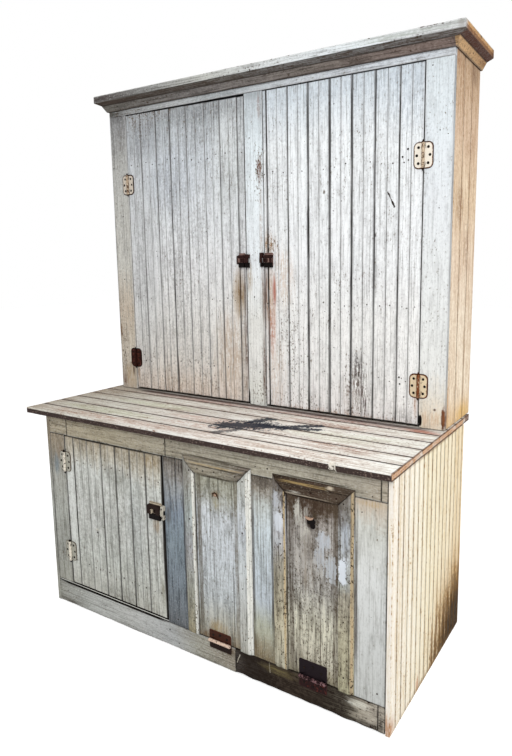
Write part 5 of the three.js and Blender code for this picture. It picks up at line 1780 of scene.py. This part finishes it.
upper_shelves = [f"upper_shelf_{number}" for number in range(1, 5)]
for name in ("cupboard_shelf", "base_floor", *upper_shelves):
    plain_piece(name, "x", bare_wood_across)
plain_piece("cupboard_partition", "z", bare_wood)
for name in ("lower_door", "upper_left_door", "upper_right_door"):
    for batten in ("_bottom_batten", "_top_batten"):
        low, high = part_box(name + batten)
        skin = Skin()
        lay(skin, board_outline(high.z - low.z, high.y - low.y), low, (Z, Y, X), high.x - low.x)
        dress(skin, name + batten + "_board", bare_wood_across, (name + batten,))
case_back("base_back", RAGGED)
case_back("upper_back", 0, dropped=8 * MM)
for body, skin in fasteners.items():
    dress(skin, body + "_fasteners", screw_iron, body=body)
for label in ("bin_1_box", "bin_2_box"):
    node = frame["nodes"][label]
    node.data.materials.clear()
    node.data.materials.append(bare_wood)


# Stage

FLOOR_SIZE = 30
FLOOR_DROP = 0.5 * MM
FLOOR_LIFT = 0.6
WORLD_LIGHT = 0.52
WHITE = (1, 1, 1, 1)


def is_background(graph):
    """1 for rays that see the background itself: camera, glossy and transmission rays."""
    path = graph.node("LightPath", {}).outputs
    seen = graph.math("MAXIMUM", path["Is Camera Ray"], path["Is Glossy Ray"])
    return graph.math("MAXIMUM", seen, path["Is Transmission Ray"])


def make_floor():
    mesh = bpy.data.meshes.new("floor")
    half = FLOOR_SIZE / 2
    corners = [(-half, -half, 0), (half, -half, 0), (half, half, 0), (-half, half, 0)]
    mesh.from_pydata(corners, [], [(0, 1, 2, 3)])
    floor = bpy.data.objects.new("floor", mesh)
    bpy.context.scene.collection.objects.link(floor)
    floor.location.z = -FLOOR_DROP
    graph = Graph(bpy.data.materials.new("floor_white"))
    inputs = graph.shader.inputs
    inputs["Base Color"].default_value = (0.82, 0.82, 0.82, 1)
    inputs["Roughness"].default_value = 0.9
    inputs["Emission Color"].default_value = WHITE
    graph.feed(inputs["Emission Strength"], graph.math("MULTIPLY", is_background(graph), FLOOR_LIFT))
    mesh.materials.append(graph.owner)


def make_world():
    world = bpy.data.worlds.new("studio")
    bpy.context.scene.world = world
    graph = Graph(world, "Background")
    graph.shader.inputs["Color"].default_value = WHITE
    strength = graph.total((1 - WORLD_LIGHT, is_background(graph)), (1, WORLD_LIGHT))
    graph.feed(graph.shader.inputs["Strength"], strength)


def lamp(name, place, aim, size, power):
    light = bpy.data.lights.new(name, "AREA")
    light.size = size
    light.energy = power
    holder = bpy.data.objects.new(name, light)
    holder.location = at(*place)
    holder.rotation_euler = (at(*aim) - at(*place)).to_track_quat("-Z", "Y").to_euler()
    bpy.context.scene.collection.objects.link(holder)


def make_camera():
    camera = bpy.data.cameras.new("camera")
    camera.sensor_width = SENSOR
    camera.lens = FOCAL_PIXELS * SENSOR / IMAGE_HEIGHT
    camera.shift_x = (IMAGE_WIDTH / 2 - PRINCIPAL_X) / IMAGE_HEIGHT
    camera.shift_y = (PRINCIPAL_Y - IMAGE_HEIGHT / 2) / IMAGE_HEIGHT
    holder = bpy.data.objects.new("camera", camera)
    holder.location = at(*CAMERA_AT)
    holder.rotation_euler = [math.radians(angle) for angle in CAMERA_TURN]
    bpy.context.scene.collection.objects.link(holder)
    bpy.context.scene.camera = holder


make_camera()
make_floor()
make_world()
lamp("key", (1400, -2600, 3000), (0, 200, 900), 2.2, 70)
lamp("side", (3400, 300, 1900), (700, 300, 900), 2.4, 34)
lamp("top", (-200, 300, 3900), (0, 300, 770), 1.8, 20)
bpy.context.scene.view_settings.view_transform = "Standard"
